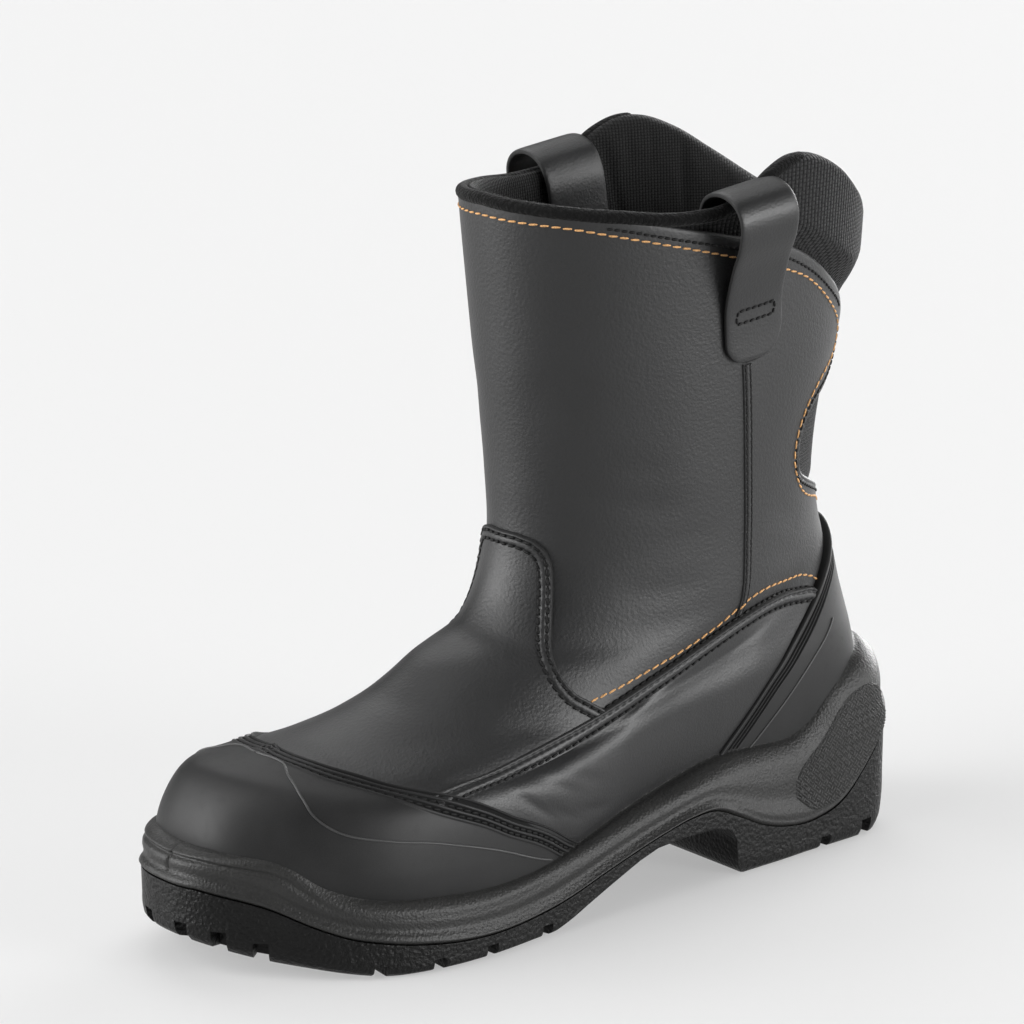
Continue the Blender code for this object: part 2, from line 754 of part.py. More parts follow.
def build_midsole(parts):
    """The moulded midsole: a cup whose lip climbs round the upper at heel and toe."""
    degrees = COLUMN_DEGREES[:-1]
    lip = edge(LIP, degrees)
    along, across = sole_outline(degrees)
    foot = np.stack((along, across, sole_height(along, "parting")), -1)
    rim = offset(degrees, lip, np.full(COLUMNS, LIP_THICKNESS))
    outward = foot - np.stack((*sole_outline(degrees, SOLE_PROBE), foot[:, 2]), -1)
    outward = outward / np.linalg.norm(outward, axis=1, keepdims=True)
    rows = []
    for rise, out in MIDSOLE_SIDE.values:
        inward = 1 - math.sqrt(1 - rise**2)
        row = foot + (rim - foot) * np.array((inward, inward, rise)) + outward * out
        rows.append(row)
    for levels in rows_between(np.zeros(COLUMNS), lip, LEVELS[LEVELS < MIDSOLE_LIP_LEVEL])[::-1]:
        rows.append(offset(degrees, levels, np.full(COLUMNS, FIT_GAP)))
    floor = rows[-1].copy()
    floor[:, 2] = bed_height(floor[:, 0]) - FIT_GAP
    rows.append(floor)
    grid, verts = loft(np.array(rows), wrap_columns=True)
    bridge_across(grid, verts[0])
    bridge_across(grid, verts[-1])
    weld(grid)
    bmesh.ops.recalc_face_normals(grid, faces=grid.faces)
    to_object("midsole", grid, parts, "midsole_foam")


def build_insole(parts):
    """The loose insole on the midsole's floor, inside the upper's wall."""
    degrees = COLUMN_DEGREES[:-1]
    inside = np.full(COLUMNS, -(LEATHER + INSOLE_CLEARANCE))
    low = offset(degrees, np.zeros(COLUMNS), inside)
    low[:, 2] = bed_height(low[:, 0])
    high = low + np.array((0, 0, INSOLE_THICKNESS))
    grid, verts = loft(np.array((low, high)), wrap_columns=True)
    bridge_across(grid, verts[0])
    bridge_across(grid, verts[1])
    bmesh.ops.recalc_face_normals(grid, faces=grid.faces)
    to_object("insole", grid, parts, "insole_felt")


def add_bar(solid, along, across, low, high, size, lean_degrees):
    """Adds an upright bar, given its length across and along the boot, to a cutter."""
    centre = place((along, across, (low + high) / 2))
    turned = Matrix.Translation(centre) @ Matrix.Rotation(math.radians(lean_degrees), 4, "Z")
    scale = Matrix.Diagonal((size[0] * MM, size[1] * MM, (high - low) * MM, 1))
    bmesh.ops.create_cube(solid, size=1.0, matrix=turned @ scale)


def build_outsole(parts, cutters):
    """The rubber outsole: its side, the hollow of the shank and the cuts between its lugs."""
    degrees = COLUMN_DEGREES[:-1]
    rows = []
    for drop, inset in OUTSOLE_SIDE.values:
        along, across = sole_outline(degrees, inset)
        top = sole_height(along, "parting") - FIT_GAP
        tread = sole_height(along, "tread")
        rows.append(np.stack((along, across, top + (tread - top) * drop), -1))
    grid, verts = loft(np.array(rows), wrap_columns=True)
    bridge_across(grid, verts[0])
    bridge_across(grid, verts[-1])
    bmesh.ops.recalc_face_normals(grid, faces=grid.faces)
    outsole = to_object("outsole", grid, parts, "outsole_rubber")

    arch = prism([(along, BALL_WIDTH, rise) for along, rise in ARCH], (0, -2 * BALL_WIDTH, 0))
    cut(outsole, to_cutter("shank_hollow", arch, cutters))

    grooves = bmesh.new()
    for along, lean in GROOVES.values:
        top = TREAD_DEPTH + sole_height(along, "tread")
        add_bar(grooves, along, 0, -CUT_MARGIN, top, (GROOVE_WIDTH, 2 * BALL_WIDTH), lean)
    cut(outsole, to_cutter("tread_grooves", grooves, cutters))

    notches = bmesh.new()
    for angle in NOTCH_DEGREES:
        along, across = sole_outline(angle)
        ahead, beside = sole_outline(angle + SOLE_PROBE)
        turn = math.degrees(math.atan2(beside - across, ahead - along))
        top = NOTCH_DEPTH + sole_height(along, "tread")
        add_bar(notches, along, across, -CUT_MARGIN, top, (NOTCH_WIDTH, 2 * NOTCH_REACH), turn)
    cut(outsole, to_cutter("edge_notches", notches, cutters))

    channel = bmesh.new()
    start, end = CHANNEL_ENDS
    middle = (start + end) / 2
    add_bar(channel, middle, 0, -CUT_MARGIN, TREAD_DEPTH, (end - start, CHANNEL_WIDTH), 0)
    cut(outsole, to_cutter("forefoot_channel", channel, cutters))


def main():
    """Clears the scene and builds the boot's pieces from the sole up."""
    for old in list(bpy.data.objects):
        bpy.data.objects.remove(old, do_unlink=True)
    parts = bpy.data.collections.new("pull_on_safety_boot")
    cutters = bpy.data.collections.new("cutters")
    bpy.context.scene.collection.children.link(parts)
    bpy.context.scene.collection.children.link(cutters)
    build_outsole(parts, cutters)
    build_midsole(parts)
    build_insole(parts)
    build_upper(parts, cutters)
    build_overlays(parts)
    build_side_seams(parts)
    build_collar(parts)
    build_pull_loop("pull_loop_outer", parts, 1)
    build_pull_loop("pull_loop_inner", parts, -1)


main()
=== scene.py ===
"""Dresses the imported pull-on safety boot in leather, moulded rubber, padded textile and thread.

The boot's own coordinates are in millimetres: along runs from the heel's back to the toe, across from
the middle to the outer side, and height up from the floor. In the scene the toe points to -X and the
outer side to -Y. Degrees run round the boot from the centre back, through 90 on the outer side and 180
at the toe, and levels climb the upper from 0 at the sole to 10 at the collar.
"""

import logging
import math
from collections.abc import Callable, Iterator, Sequence
from dataclasses import dataclass, replace
from enum import Enum

import bmesh
import bpy
import numpy as np
from mathutils import Matrix, Vector
from mathutils.bvhtree import BVHTree


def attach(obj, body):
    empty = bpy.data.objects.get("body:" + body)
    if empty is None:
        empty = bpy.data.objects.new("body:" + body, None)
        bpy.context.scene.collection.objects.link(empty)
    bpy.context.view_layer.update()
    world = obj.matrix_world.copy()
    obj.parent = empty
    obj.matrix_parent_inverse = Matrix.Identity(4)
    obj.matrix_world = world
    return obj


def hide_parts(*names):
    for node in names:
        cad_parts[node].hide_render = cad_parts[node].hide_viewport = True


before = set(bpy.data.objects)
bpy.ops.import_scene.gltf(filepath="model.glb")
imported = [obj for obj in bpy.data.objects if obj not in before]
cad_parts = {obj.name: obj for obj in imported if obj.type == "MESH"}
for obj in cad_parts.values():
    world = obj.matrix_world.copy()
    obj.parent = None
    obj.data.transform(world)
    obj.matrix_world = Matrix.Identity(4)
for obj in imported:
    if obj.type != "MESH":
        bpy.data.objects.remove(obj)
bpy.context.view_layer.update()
LOG = logging.getLogger("boot")

Array = np.ndarray
Shape = Callable[[Array, Array], Array]
Pair = tuple[float, float]
Colour = tuple[float, float, float]
Mesh = bmesh.types.BMesh
Material = bpy.types.Material

MM = 0.001
WELD = 1e-6
ORIGIN_ALONG = 150.0
ORIGIN_ACROSS = -0.3
BODY = "root"
SIDES = {1: "outer", -1: "inner"}
# Name of the point attribute that carries painted shade in grooves, sewn furrows and along cut edges
SHADE = "shade"
FORM_MAP = "form"
CLOTH_MAP = "cloth"


# Form of the boot


@dataclass(frozen=True)
class Table:
    """Rows of named columns. The first column is the key, and a smooth curve joins the rows."""

    columns: str
    rows: tuple[tuple[float, ...], ...]

    def column(self, name: str) -> Array:
        """All values of one column."""
        return np.array([row[self.columns.split().index(name)] for row in self.rows], float)

    def at(self, key: Array | float, name: str) -> Array:
        """Values of one column at any keys, held at the ends.

        Args:
            key: Keys to read at.
            name: Column to read.

        Returns:
            One value for each key.
        """
        keys = self.column(self.columns.split()[0])
        column = self.column(name)
        slopes = np.gradient(column, keys)
        key = np.clip(np.asarray(key, float), keys[0], keys[-1])
        row = np.clip(np.searchsorted(keys, key, "right") - 1, 0, len(keys) - 2)
        step = keys[row + 1] - keys[row]
        part = (key - keys[row]) / step
        rise = part * part * (3 - 2 * part)
        bend = slopes[row] * part * (1 - part) ** 2 - slopes[row + 1] * part**2 * (1 - part)
        return column[row] * (1 - rise) + column[row + 1] * rise + bend * step


RINGS = Table(
    "level back back_rise front front_rise outer inner oval blunt keep dip",
    (
        (0, 0.0333, 0.000, 0.9600, -0.238, 0.500, 0.480, 0.00, 0.72, 1.0, 0.00),
        (1, 0.0233, 0.381, 0.9750, 0.119, 0.520, 0.500, 0.00, 0.72, 0.9, 0.00),
        (2, 0.0350, 0.857, 0.9500, 0.548, 0.505, 0.460, 0.15, 0.74, 0.6, 0.17),
        (3, 0.0483, 1.085, 0.9067, 0.667, 0.445, 0.415, 0.45, 0.80, 0.3, 0.36),
        (4, 0.0550, 1.170, 0.7783, 0.774, 0.410, 0.385, 0.75, 0.90, 0.1, 0.38),
        (5, 0.0633, 1.236, 0.6567, 1.000, 0.400, 0.375, 0.95, 0.98, 0.0, 0.37),
        (6, 0.0707, 1.303, 0.5783, 1.088, 0.400, 0.380, 1.00, 1.00, 0.0, 0.33),
        (7, 0.0747, 1.388, 0.5390, 1.242, 0.410, 0.397, 1.00, 1.00, 0.0, 0.21),
        (8, 0.0693, 1.509, 0.5377, 1.430, 0.435, 0.420, 1.00, 0.98, 0.0, 0.12),
        (9, 0.0467, 1.703, 0.5507, 1.691, 0.470, 0.460, 1.00, 0.95, 0.0, 0.05),
        (10, 0.0367, 1.982, 0.5650, 2.000, 0.500, 0.505, 1.00, 0.93, 0.0, 0.00),
        (11, 0.0317, 2.139, 0.5700, 2.158, 0.515, 0.520, 1.00, 0.93, 0.0, 0.00),
    ),
)
FOOT_PLAN = Table(
    "share outer inner shift",
    (
        (0.000, 1.02, 1.02, 0.000), (0.067, 0.92, 0.92, 0.000), (0.146, 0.80, 0.80, 0.000),
        (0.250, 0.70, 0.68, 0.000), (0.370, 0.67, 0.57, 0.000), (0.500, 0.75, 0.60, 0.000),
        (0.630, 0.92, 0.80, -0.005), (0.750, 1.08, 1.02, -0.025), (0.854, 1.20, 1.10, -0.050),
        (0.933, 1.18, 1.12, -0.065), (1.000, 1.12, 1.10, -0.070),
    ),
)
FOOT_BED = Table(
    "share rise",
    (
        (0.000, 0.02), (0.200, -0.02), (0.327, -0.06), (0.417, -0.19), (0.487, -0.33), (0.537, -0.43),
        (0.590, -0.51), (0.667, -0.55), (0.750, -0.52), (0.833, -0.45), (0.900, -0.36), (1.000, -0.19),
    ),
)
SOLE_PLAN = Table(
    "share outer inner shift",
    (
        (0.00, 0.740, 0.740, 0.000), (0.03, 0.690, 0.690, 0.000), (0.07, 0.595, 0.595, 0.000),
        (0.14, 0.505, 0.505, 0.000), (0.21, 0.478, 0.470, 0.000), (0.29, 0.462, 0.438, 0.000),
        (0.40, 0.450, 0.390, 0.000), (0.50, 0.470, 0.405, 0.000), (0.60, 0.515, 0.470, 0.000),
        (0.69, 0.590, 0.545, -0.012), (0.76, 0.640, 0.585, -0.027), (0.83, 0.655, 0.600, -0.043),
        (0.90, 0.610, 0.595, -0.055), (0.95, 0.540, 0.560, -0.065), (1.00, 0.500, 0.520, -0.070),
    ),
)
SOLE_SIDE = Table(
    "share parting tread",
    (
        (0.000, 1.120, 0.15), (0.030, 0.930, 0.02), (0.060, 0.700, 0.00), (0.100, 0.430, 0.00),
        (0.150, 0.310, 0.00), (0.200, 0.330, 0.00), (0.245, 0.420, 0.00), (0.287, 0.570, 0.00),
        (0.323, 0.680, 0.00), (0.363, 0.670, 0.00), (0.407, 0.600, 0.00), (0.490, 0.440, 0.00),
        (0.580, 0.265, 0.00), (0.680, 0.205, 0.00), (0.773, 0.250, 0.00), (0.830, 0.315, 0.01),
        (0.870, 0.385, 0.06), (0.905, 0.500, 0.12), (0.940, 0.645, 0.18), (1.000, 0.800, 0.33),
    ),
)
MIDSOLE_SIDE = Table(
    "rise out",
    ((0.00, -0.8), (0.10, 0.7), (0.20, 0.5), (0.30, -0.4), (0.60, 0.5), (0.85, 0.9), (1.00, 0.0)),
)

# Edges of the pieces on the upper's face, alike on both sides
LIP = Table(
    "degrees level",
    (
        (0, 1.65), (16, 1.57), (29, 1.33), (38, 0.91), (42, 0.52), (46, 0.32), (55, 0.30), (64, 0.35),
        (76, 0.27), (88, 0.32), (101, 0.36), (122, 0.40), (140, 0.48), (145, 0.62), (150, 0.87),
        (166, 0.98), (180, 0.94),
    ),
)
CAP_EDGE = Table(
    "degrees level",
    (
        (0, 0.00), (88, 0.00), (94, 0.36), (100, 1.07), (110, 1.72), (124, 2.52), (140, 3.06), (157, 3.31),
        (180, 3.45),
    ),
)
COUNTER_HEIGHT = Table(
    "degrees height",
    (
        (0, 117.0), (8, 115.5), (16, 111.3), (23, 106.8), (27, 103.7), (32, 98.8), (36, 93.8), (42, 86.0),
        (48, 77.8), (54, 68.4), (59, 58.2), (63, 48.9), (66, 41.5), (70, 33.0),
    ),
)
QUARTER_EDGE = Table(
    "degrees level",
    (
        (0, 1.50), (28, 2.66), (34, 3.16), (42, 3.72), (52, 4.35), (64, 4.82), (72, 4.95), (79, 4.95),
        (85, 4.85), (91, 4.67), (96, 4.45), (101, 4.12), (107, 3.66), (111, 3.38), (115, 3.13), (121, 2.83),
        (126, 2.45), (130, 1.90), (140, 0.00), (180, 0.00),
    ),
)
VAMP_EDGE = Table(
    "degrees level",
    (
        (0, 0.00), (90, 3.20), (102, 4.06), (111, 4.47), (118, 4.71), (124, 4.94), (130, 5.21), (138, 5.67),
        (143.5, 6.08), (147, 6.43), (149.5, 6.74), (151.5, 6.97), (154.5, 7.15), (159, 7.27), (166.5, 7.34),
        (180, 7.36),
    ),
)
LEATHER_EDGE = Table(
    "degrees level",
    (
        (0, 8.70), (22, 8.75), (30, 8.93), (37, 9.09), (52, 9.33), (63, 9.49), (72, 9.60), (95, 9.77),
        (111, 9.87), (129, 9.98), (150, 10.06), (180, 10.10),
    ),
)
SIDE_SEAM = Table(
    "level degrees",
    ((5.05, 74.0), (5.25, 74.6), (5.80, 76.5), (6.90, 80.8), (8.10, 84.8), (8.90, 89.0)),
)
REAR_OPENING = Table(
    "height half",
    (
        (127.0, 0.0), (129.0, 10.0), (133.0, 20.0), (140.0, 31.5), (149.0, 35.5), (160.0, 36.3),
        (169.0, 34.0), (177.0, 26.0), (184.0, 22.0), (190.0, 20.5), (200.0, 20.5),
    ),
)
COLLAR = Table(
    "degrees skirt rim swell padding",
    (
        (0, 4.9, 227.0, 4.0, 4.0), (28, 5.3, 237.5, 6.5, 5.0), (45, 6.2, 248.8, 6.3, 5.5),
        (57, 7.2, 257.8, 5.0, 5.2), (68, 8.1, 263.0, 3.6, 4.6), (75, 8.5, 263.2, 2.4, 4.0),
        (82, 8.8, 260.0, 1.5, 3.4), (89, 8.9, 254.4, 1.0, 3.2), (97, 8.9, 249.6, 0.9, 3.2),
        (107, 8.9, 248.3, 0.8, 3.2), (130, 8.9, 250.5, 0.6, 3.2), (155, 8.9, 253.0, 0.6, 3.2),
        (180, 8.9, 254.5, 0.6, 3.2),
    ),
)
LOOP_PATH = Table(
    "step rise out",
    (
        (0.0, 0.0, 0.4), (1.0, 12.0, 0.4), (2.0, 24.0, 1.3), (3.0, 35.5, 5.0), (4.0, 46.0, 9.8),
        (5.0, 55.0, 11.0), (6.0, 61.4, 7.0), (7.0, 63.6, -0.8), (8.0, 60.8, -8.2), (9.0, 53.0, -11.6),
        (10.0, 42.0, -11.4), (11.0, 31.0, -10.8),
    ),
)

# Lines sewn or moulded on the upper, step by step
TOP_THREAD = Table(
    "step degrees level",
    (
        (0, 180.0, 10.00), (1, 148.0, 9.96), (2, 129.0, 9.88), (3, 111.5, 9.78), (4, 95.0, 9.67),
        (5, 72.0, 9.49), (6, 62.0, 9.37), (7, 49.0, 9.15), (8, 39.0, 8.95), (9, 34.5, 8.76),
        (10, 37.0, 8.62), (11, 48.0, 8.48), (12, 56.0, 8.26), (13, 60.0, 7.93), (14, 59.0, 7.50),
        (15, 50.0, 6.88), (16, 30.0, 6.06), (17, 20.0, 5.47), (18, 12.0, 5.15), (19, 0.0, 4.97),
    ),
)
ANKLE_THREAD = Table(
    "step degrees level",
    (
        (0, 111.5, 4.38), (1, 104.5, 4.55), (2, 98.0, 4.74), (3, 88.5, 4.94), (4, 80.5, 5.16),
        (5, 74.5, 5.40), (6, 67.0, 5.32), (7, 59.0, 5.03), (8, 51.0, 4.66), (9, 43.0, 4.24),
        (10, 36.0, 3.71), (11, 31.0, 3.22),
    ),
)
CAP_MOULD_LINE = Table(
    "step degrees level",
    (
        (0, 180.0, 3.22), (1, 172.0, 3.22), (2, 165.8, 3.14), (3, 160.0, 2.90), (4, 156.0, 2.62),
        (5, 152.5, 2.20), (6, 148.5, 1.84), (7, 141.8, 1.60), (8, 132.2, 1.52), (9, 122.8, 1.43),
        (10, 111.0, 1.10), (11, 100.2, 0.40),
    ),
)
COUNTER_LINE = Table(
    "step degrees level",
    ((0, 30.0, 2.42), (1, 40.8, 1.86), (2, 50.0, 1.17), (3, 57.5, 0.30)),
)


def place(points: Array) -> Array:
    """Scene coordinates, in metres, of points in the boot's own coordinates."""
    along, across, height = points[..., 0], points[..., 1], points[..., 2]
    return np.stack((ORIGIN_ALONG - along, ORIGIN_ACROSS - across, height), -1) * MM


def folded(degrees: Array | float) -> Array:
    """Degrees from the centre back, alike on the outer and the inner side."""
    turned = np.asarray(degrees, float) % 360
    return np.minimum(turned, 360 - turned)


def smooth_step(low: float | Array, high: float | Array, value: Array) -> Array:
    """0 below low, 1 above high and a soft ramp between."""
    part = np.clip((value - low) / (high - low), 0, 1)
    return part * part * (3 - 2 * part)


def bell(distance: Array, width: float) -> Array:
    """1 on a line, and a soft fall to nothing on both sides of it."""
    return np.exp(-((distance / width) ** 2))


def rounded(distance: Array, radius: float | Array) -> Array:
    """0 at an edge, and a quarter circle's climb to 1 at its radius."""
    part = 1 - np.clip(distance / radius, 0, 1)
    return np.sqrt(1 - part * part)


def blunted(wave: Array, power: float | Array) -> Array:
    """A wave with flatter tops, its sign kept."""
    return np.sign(wave) * np.abs(wave) ** power


def unit(vectors: Array) -> Array:
    """The same directions, of length 1."""
    return vectors / np.linalg.norm(vectors, axis=-1, keepdims=True)


@dataclass(frozen=True)
class Last:
    """The foot-shaped form that the upper is drawn over."""

    length: float = 300.0
    ball_width: float = 100.0
    heel_height: float = 40.0
    instep_height: float = 82.0
    shaft_height: float = 247.0
    soft: float = 0.12
    step: float = 0.05

    def height(self, rise: Array) -> Array:
        """Height of a rise: 0 is the heel seat, 1 the instep and 2 the collar's front.

        Args:
            rise: Rises to read at.

        Returns:
            Heights in millimetres.
        """
        foot = self.instep_height - self.heel_height
        shaft = self.shaft_height - self.instep_height
        over = (rise - 1 + np.sqrt((rise - 1) ** 2 + self.soft**2)) / 2
        return self.heel_height + rise * foot + over * (shaft - foot)

    def bed_height(self, along: Array) -> Array:
        """Height of the foot bed."""
        return self.height(FOOT_BED.at(along / self.length, "rise"))

    def surface(self, degrees: Array | float, level: Array | float) -> Array:
        """Points of the upper's outer face.

        Args:
            degrees: Angles from the centre back.
            level: Levels from the sole.

        Returns:
            Points in the boot's own coordinates.
        """
        degrees, level = np.broadcast_arrays(np.asarray(degrees, float), np.asarray(level, float))
        ring = {name: RINGS.at(level, name) for name in RINGS.columns.split()[1:]}
        share = (1 - np.cos(np.radians(degrees))) / 2
        side = np.sin(np.radians(degrees))
        along = (ring["back"] + (ring["front"] - ring["back"]) * share) * self.length
        plan = np.where(side >= 0, FOOT_PLAN.at(share, "outer"), FOOT_PLAN.at(share, "inner"))
        width = np.where(side >= 0, ring["outer"], ring["inner"]) * self.ball_width
        width = width * (plan + (1 - plan) * ring["oval"])
        shift = FOOT_PLAN.at(share, "shift") * self.ball_width * (1 - ring["oval"])
        across = shift + blunted(side, ring["blunt"]) * width
        back = self.height(ring["back_rise"])
        front = self.height(ring["front_rise"])
        seat = self.height(RINGS.at(0, "back_rise"))
        feather = seat + (self.height(RINGS.at(0, "front_rise")) - seat) * share
        sag = ring["keep"] * (self.bed_height(along) - feather)
        dip = ring["dip"] * (self.instep_height - self.heel_height) * side**2
        return np.stack((along, across, back + (front - back) * share + sag - dip), -1)

    def normal(self, degrees: Array, level: Array) -> Array:
        """Outward directions of the upper's face.

        Args:
            degrees: Angles from the centre back.
            level: Levels from the sole.

        Returns:
            One direction for each place, of length 1.
        """
        turn = self.surface(degrees + self.step, level) - self.surface(degrees - self.step, level)
        climb = self.surface(degrees, level + self.step) - self.surface(degrees, level - self.step)
        return unit(np.cross(climb, turn))

    def offset(self, degrees: Array, level: Array, out: Array | float) -> Array:
        """Points at a distance from the upper's face, outwards where it is positive."""
        out = np.broadcast_to(np.asarray(out, float), np.shape(level))
        return self.surface(degrees, level) + self.normal(degrees, level) * out[..., None]

    def level_at(self, degrees: Array, height: Array) -> Array:
        """Levels at which the upper's face has given heights.

        Args:
            degrees: Angles from the centre back.
            height: The height that is looked for at each angle.

        Returns:
            One level for each angle.
        """
        levels = np.linspace(0, 11.0, 500)
        heights = self.surface(degrees[:, None], levels[None, :])[..., 2]
        return np.array([np.interp(goal, column, levels) for goal, column in zip(height, heights)])

    def wall_across(self, along: Array, height: Array, side: int) -> Array:
        """How far the shaft's face lies from the middle, at places seen from the side.

        Args:
            along: Distances from the heel's back.
            height: Heights from the floor.
            side: 1 for the outer side, -1 for the inner one.

        Returns:
            Distances across.
        """
        levels = np.linspace(6.0, 11.0, 160)
        back = RINGS.at(levels, "back") * self.length
        front = RINGS.at(levels, "front") * self.length
        found = []
        for spot, goal in zip(along, height):
            share = np.clip(1 - 2 * (spot - back) / (front - back), -1, 1)
            points = self.surface(side * np.degrees(np.arccos(share)), levels)
            found.append(np.interp(goal, points[:, 2], points[:, 1]))
        return np.array(found)


LAST = Last()


def edge_level(table: Table, degrees: Array) -> Array:
    """Level of an edge at any angle."""
    return table.at(folded(degrees), "level")


def walked_along(points: Array) -> Array:
    """Distance walked along a line at each of its points."""
    return np.concatenate(([0.0], np.cumsum(np.linalg.norm(np.diff(points, axis=0), axis=1))))


def evenly(points: Array, spacing: float) -> Array:
    """Points spread evenly along a line.

    Args:
        points: The line's points.
        spacing: Distance between the new points.

    Returns:
        The new points, ends included.
    """
    walked = walked_along(points)
    count = max(2, int(round(walked[-1] / spacing)) + 1)
    spots = np.linspace(0, walked[-1], count)
    return np.stack([np.interp(spots, walked, points[:, axis]) for axis in range(3)], -1)


def levelled(table: Table) -> Table:
    """An edge that is given by heights, as levels of the upper at each degree.

    Args:
        table: The edge's heights.

    Returns:
        The edge's levels, degree by degree.
    """
    angles = np.arange(0.0, table.rows[-1][0] + 1)
    levels = LAST.level_at(angles, table.at(angles, "height"))
    return Table("degrees level", (*zip(angles, levels), (180.0, levels[-1])))


COUNTER_EDGE = levelled(COUNTER_HEIGHT)


class Edge:
    """An edge on the upper, with the lines that run beside it at even distances."""

    spacing = 0.55
    pace = 0.2

    def __init__(self, table: Table, limits: Pair, width: float) -> None:
        """Walks from the edge into the panel, line by line.

        Args:
            table: The edge's levels.
            limits: First and last angle, the lesser one first.
            width: Distance of the last line from the edge.
        """
        dense = np.linspace(*limits, 2000)
        walked = walked_along(LAST.surface(dense, edge_level(table, dense)))
        degrees = np.interp(np.arange(0, walked[-1], self.spacing), walked, dense)
        lines = [(degrees, np.maximum(edge_level(table, degrees), 2 * LAST.step))]
        for _ in range(round(width / self.pace)):
            lines.append(self.inwards(*lines[-1]))
        self.lines = np.array(lines)
        self.width = width

    def inwards(self, degrees: Array, level: Array) -> tuple[Array, Array]:
        """The next line, one pace further into the panel and square to this one.

        Args:
            degrees: Angles of this line's points.
            level: Their levels.

        Returns:
            Angles and levels of the next line's points.
        """
        small = LAST.step
        turn = (LAST.surface(degrees + small, level) - LAST.surface(degrees - small, level)) / (2 * small)
        climb = (LAST.surface(degrees, level + small) - LAST.surface(degrees, level - small)) / (2 * small)
        ahead = turn * np.gradient(degrees)[:, None] + climb * np.gradient(level)[:, None]
        inward = np.cross(np.cross(climb, turn), ahead)
        inward = inward * self.pace / np.linalg.norm(inward, axis=1, keepdims=True)
        stretch, shear, rise = (turn * turn).sum(1), (turn * climb).sum(1), (climb * climb).sum(1)
        across, down = (turn * inward).sum(1), (climb * inward).sum(1)
        size = stretch * rise - shear**2
        lower = level + (stretch * down - shear * across) / size
        return degrees + (rise * across - shear * down) / size, np.maximum(lower, 2 * small)

    def line(self, distance: float) -> Array:
        """Points of the line at a distance from the edge."""
        return LAST.surface(*self.lines[round(distance / self.pace)])

    def stitched(self, distance: float, pitch: float) -> Array:
        """Stitches counted along the line at a distance from the edge, at each of its points."""
        walked = walked_along(self.line(distance))
        return walked * round(walked[-1] / pitch) / walked[-1]

    def band(self, profile: Callable[[Array, Array], tuple[Array, Array]]) -> Mesh:
        """A strip along the edge.

        Args:
            profile: Gives heights and painted shade at distances from the edge and at points along it.

        Returns:
            A new mesh.
        """
        rows, _, count = self.lines.shape

        def shape(column: Array, row: Array) -> Array:
            """Points of the strip, with the edge at the top.

            Args:
                column: Shares along the grid.
                row: Shares across it.

            Returns:
                Points in the boot's own coordinates, and how much painted shade darkens each one.
            """
            across = np.rint((1 - column) * (count - 1)).astype(int)
            down = np.rint((1 - row) * (rows - 1)).astype(int)
            out, shade = profile(down * self.pace, across)
            return np.column_stack((LAST.offset(*self.lines[down, :, across].T, out), shade))

        mesh = mapped_grid(count - 1, rows - 1, shape)
        mesh.normal_update()
        return mesh


@dataclass(frozen=True)
class Crease:
    """A soft trough or ridge pressed into the leather between two places."""

    degrees: float
    level: float
    end_degrees: float
    end_level: float
    width: float
    depth: float

    def on_side(self, side: int) -> "Crease":
        """The same crease on the outer side, 1, or on the inner one, -1.

        Args:
            side: 1 for the outer side, -1 for the inner one.

        Returns:
            A crease.
        """
        if side > 0:
            return self
        return replace(self, degrees=360 - self.degrees, end_degrees=360 - self.end_degrees)

    def press(self, points: Array) -> Array:
        """How far the crease moves each point, inwards where it is negative.

        Args:
            points: Points in the boot's own coordinates.

        Returns:
            Distances outwards.
        """
        spots = np.linspace(0, 1, 80)
        degrees = self.degrees + (self.end_degrees - self.degrees) * spots
        level = self.level + (self.end_level - self.level) * spots
        line = LAST.surface(degrees, level)
        reach = 3 * self.width
        near = np.all((points > line.min(0) - reach) & (points < line.max(0) + reach), axis=1)
        moved = np.zeros(len(points))
        gaps = np.linalg.norm(points[near][:, None, :] - line[None, :, :], axis=-1)
        fade = np.sin(np.pi * np.clip(spots[gaps.argmin(1)], 0.02, 0.98)) ** 0.7
        moved[near] = -self.depth * bell(gaps.min(1), self.width) * fade
        return moved


# Meshes


def mapped_grid(columns: int, rows: int, shape: Shape, cloth: Shape | None = None) -> Mesh:
    """A grid drawn over a shape, with points that meet welded.

    Args:
        columns: Faces along the first direction.
        rows: Faces along the second direction.
        shape: Gives points for places from 0 to 1 in both directions. Where it gives a fourth column,
        that is how much painted shade darkens the face there.
        cloth: Gives the places of points on a flat cloth, in millimetres.

    Returns:
        A new mesh.
    """
    mesh = bmesh.new()
    bmesh.ops.create_grid(mesh, x_segments=columns, y_segments=rows, size=0.5)
    spots = np.array([vert.co[:2] for vert in mesh.verts])
    spots = (spots - spots.min(0)) / (spots.max(0) - spots.min(0))
    points = shape(spots[:, 0], spots[:, 1])
    if points.shape[1] > 3:
        # The fourth column is painted shade, kept on each point
        shade = mesh.verts.layers.float.new(SHADE)
        for vert, dark in zip(mesh.verts, points[:, 3]):
            vert[shade] = dark
    maps = {FORM_MAP: spots}
    if cloth is not None:
        maps[CLOTH_MAP] = cloth(spots[:, 0], points)
    for name, places in maps.items():
        layer = mesh.loops.layers.uv.new(name)
        for face in mesh.faces:
            for loop in face.loops:
                loop[layer].uv = places[loop.vert.index]
    for vert, point in zip(mesh.verts, place(points)):
        vert.co = point
    bmesh.ops.remove_doubles(mesh, verts=mesh.verts, dist=WELD)
    bmesh.ops.dissolve_degenerate(mesh, edges=mesh.edges, dist=WELD)
    return mesh


def close_ring(mesh: Mesh, ring: Sequence[bmesh.types.BMVert]) -> None:
    """Closes a ring of points with strips from its outer to its inner side.

    Args:
        mesh: The mesh that takes the strips.
        ring: The ring's points in order.
    """
    for step in range(len(ring) // 2):
        strip = [ring[step], ring[step + 1], ring[-step - 1], ring[-step]]
        mesh.faces.new(dict.fromkeys(strip))


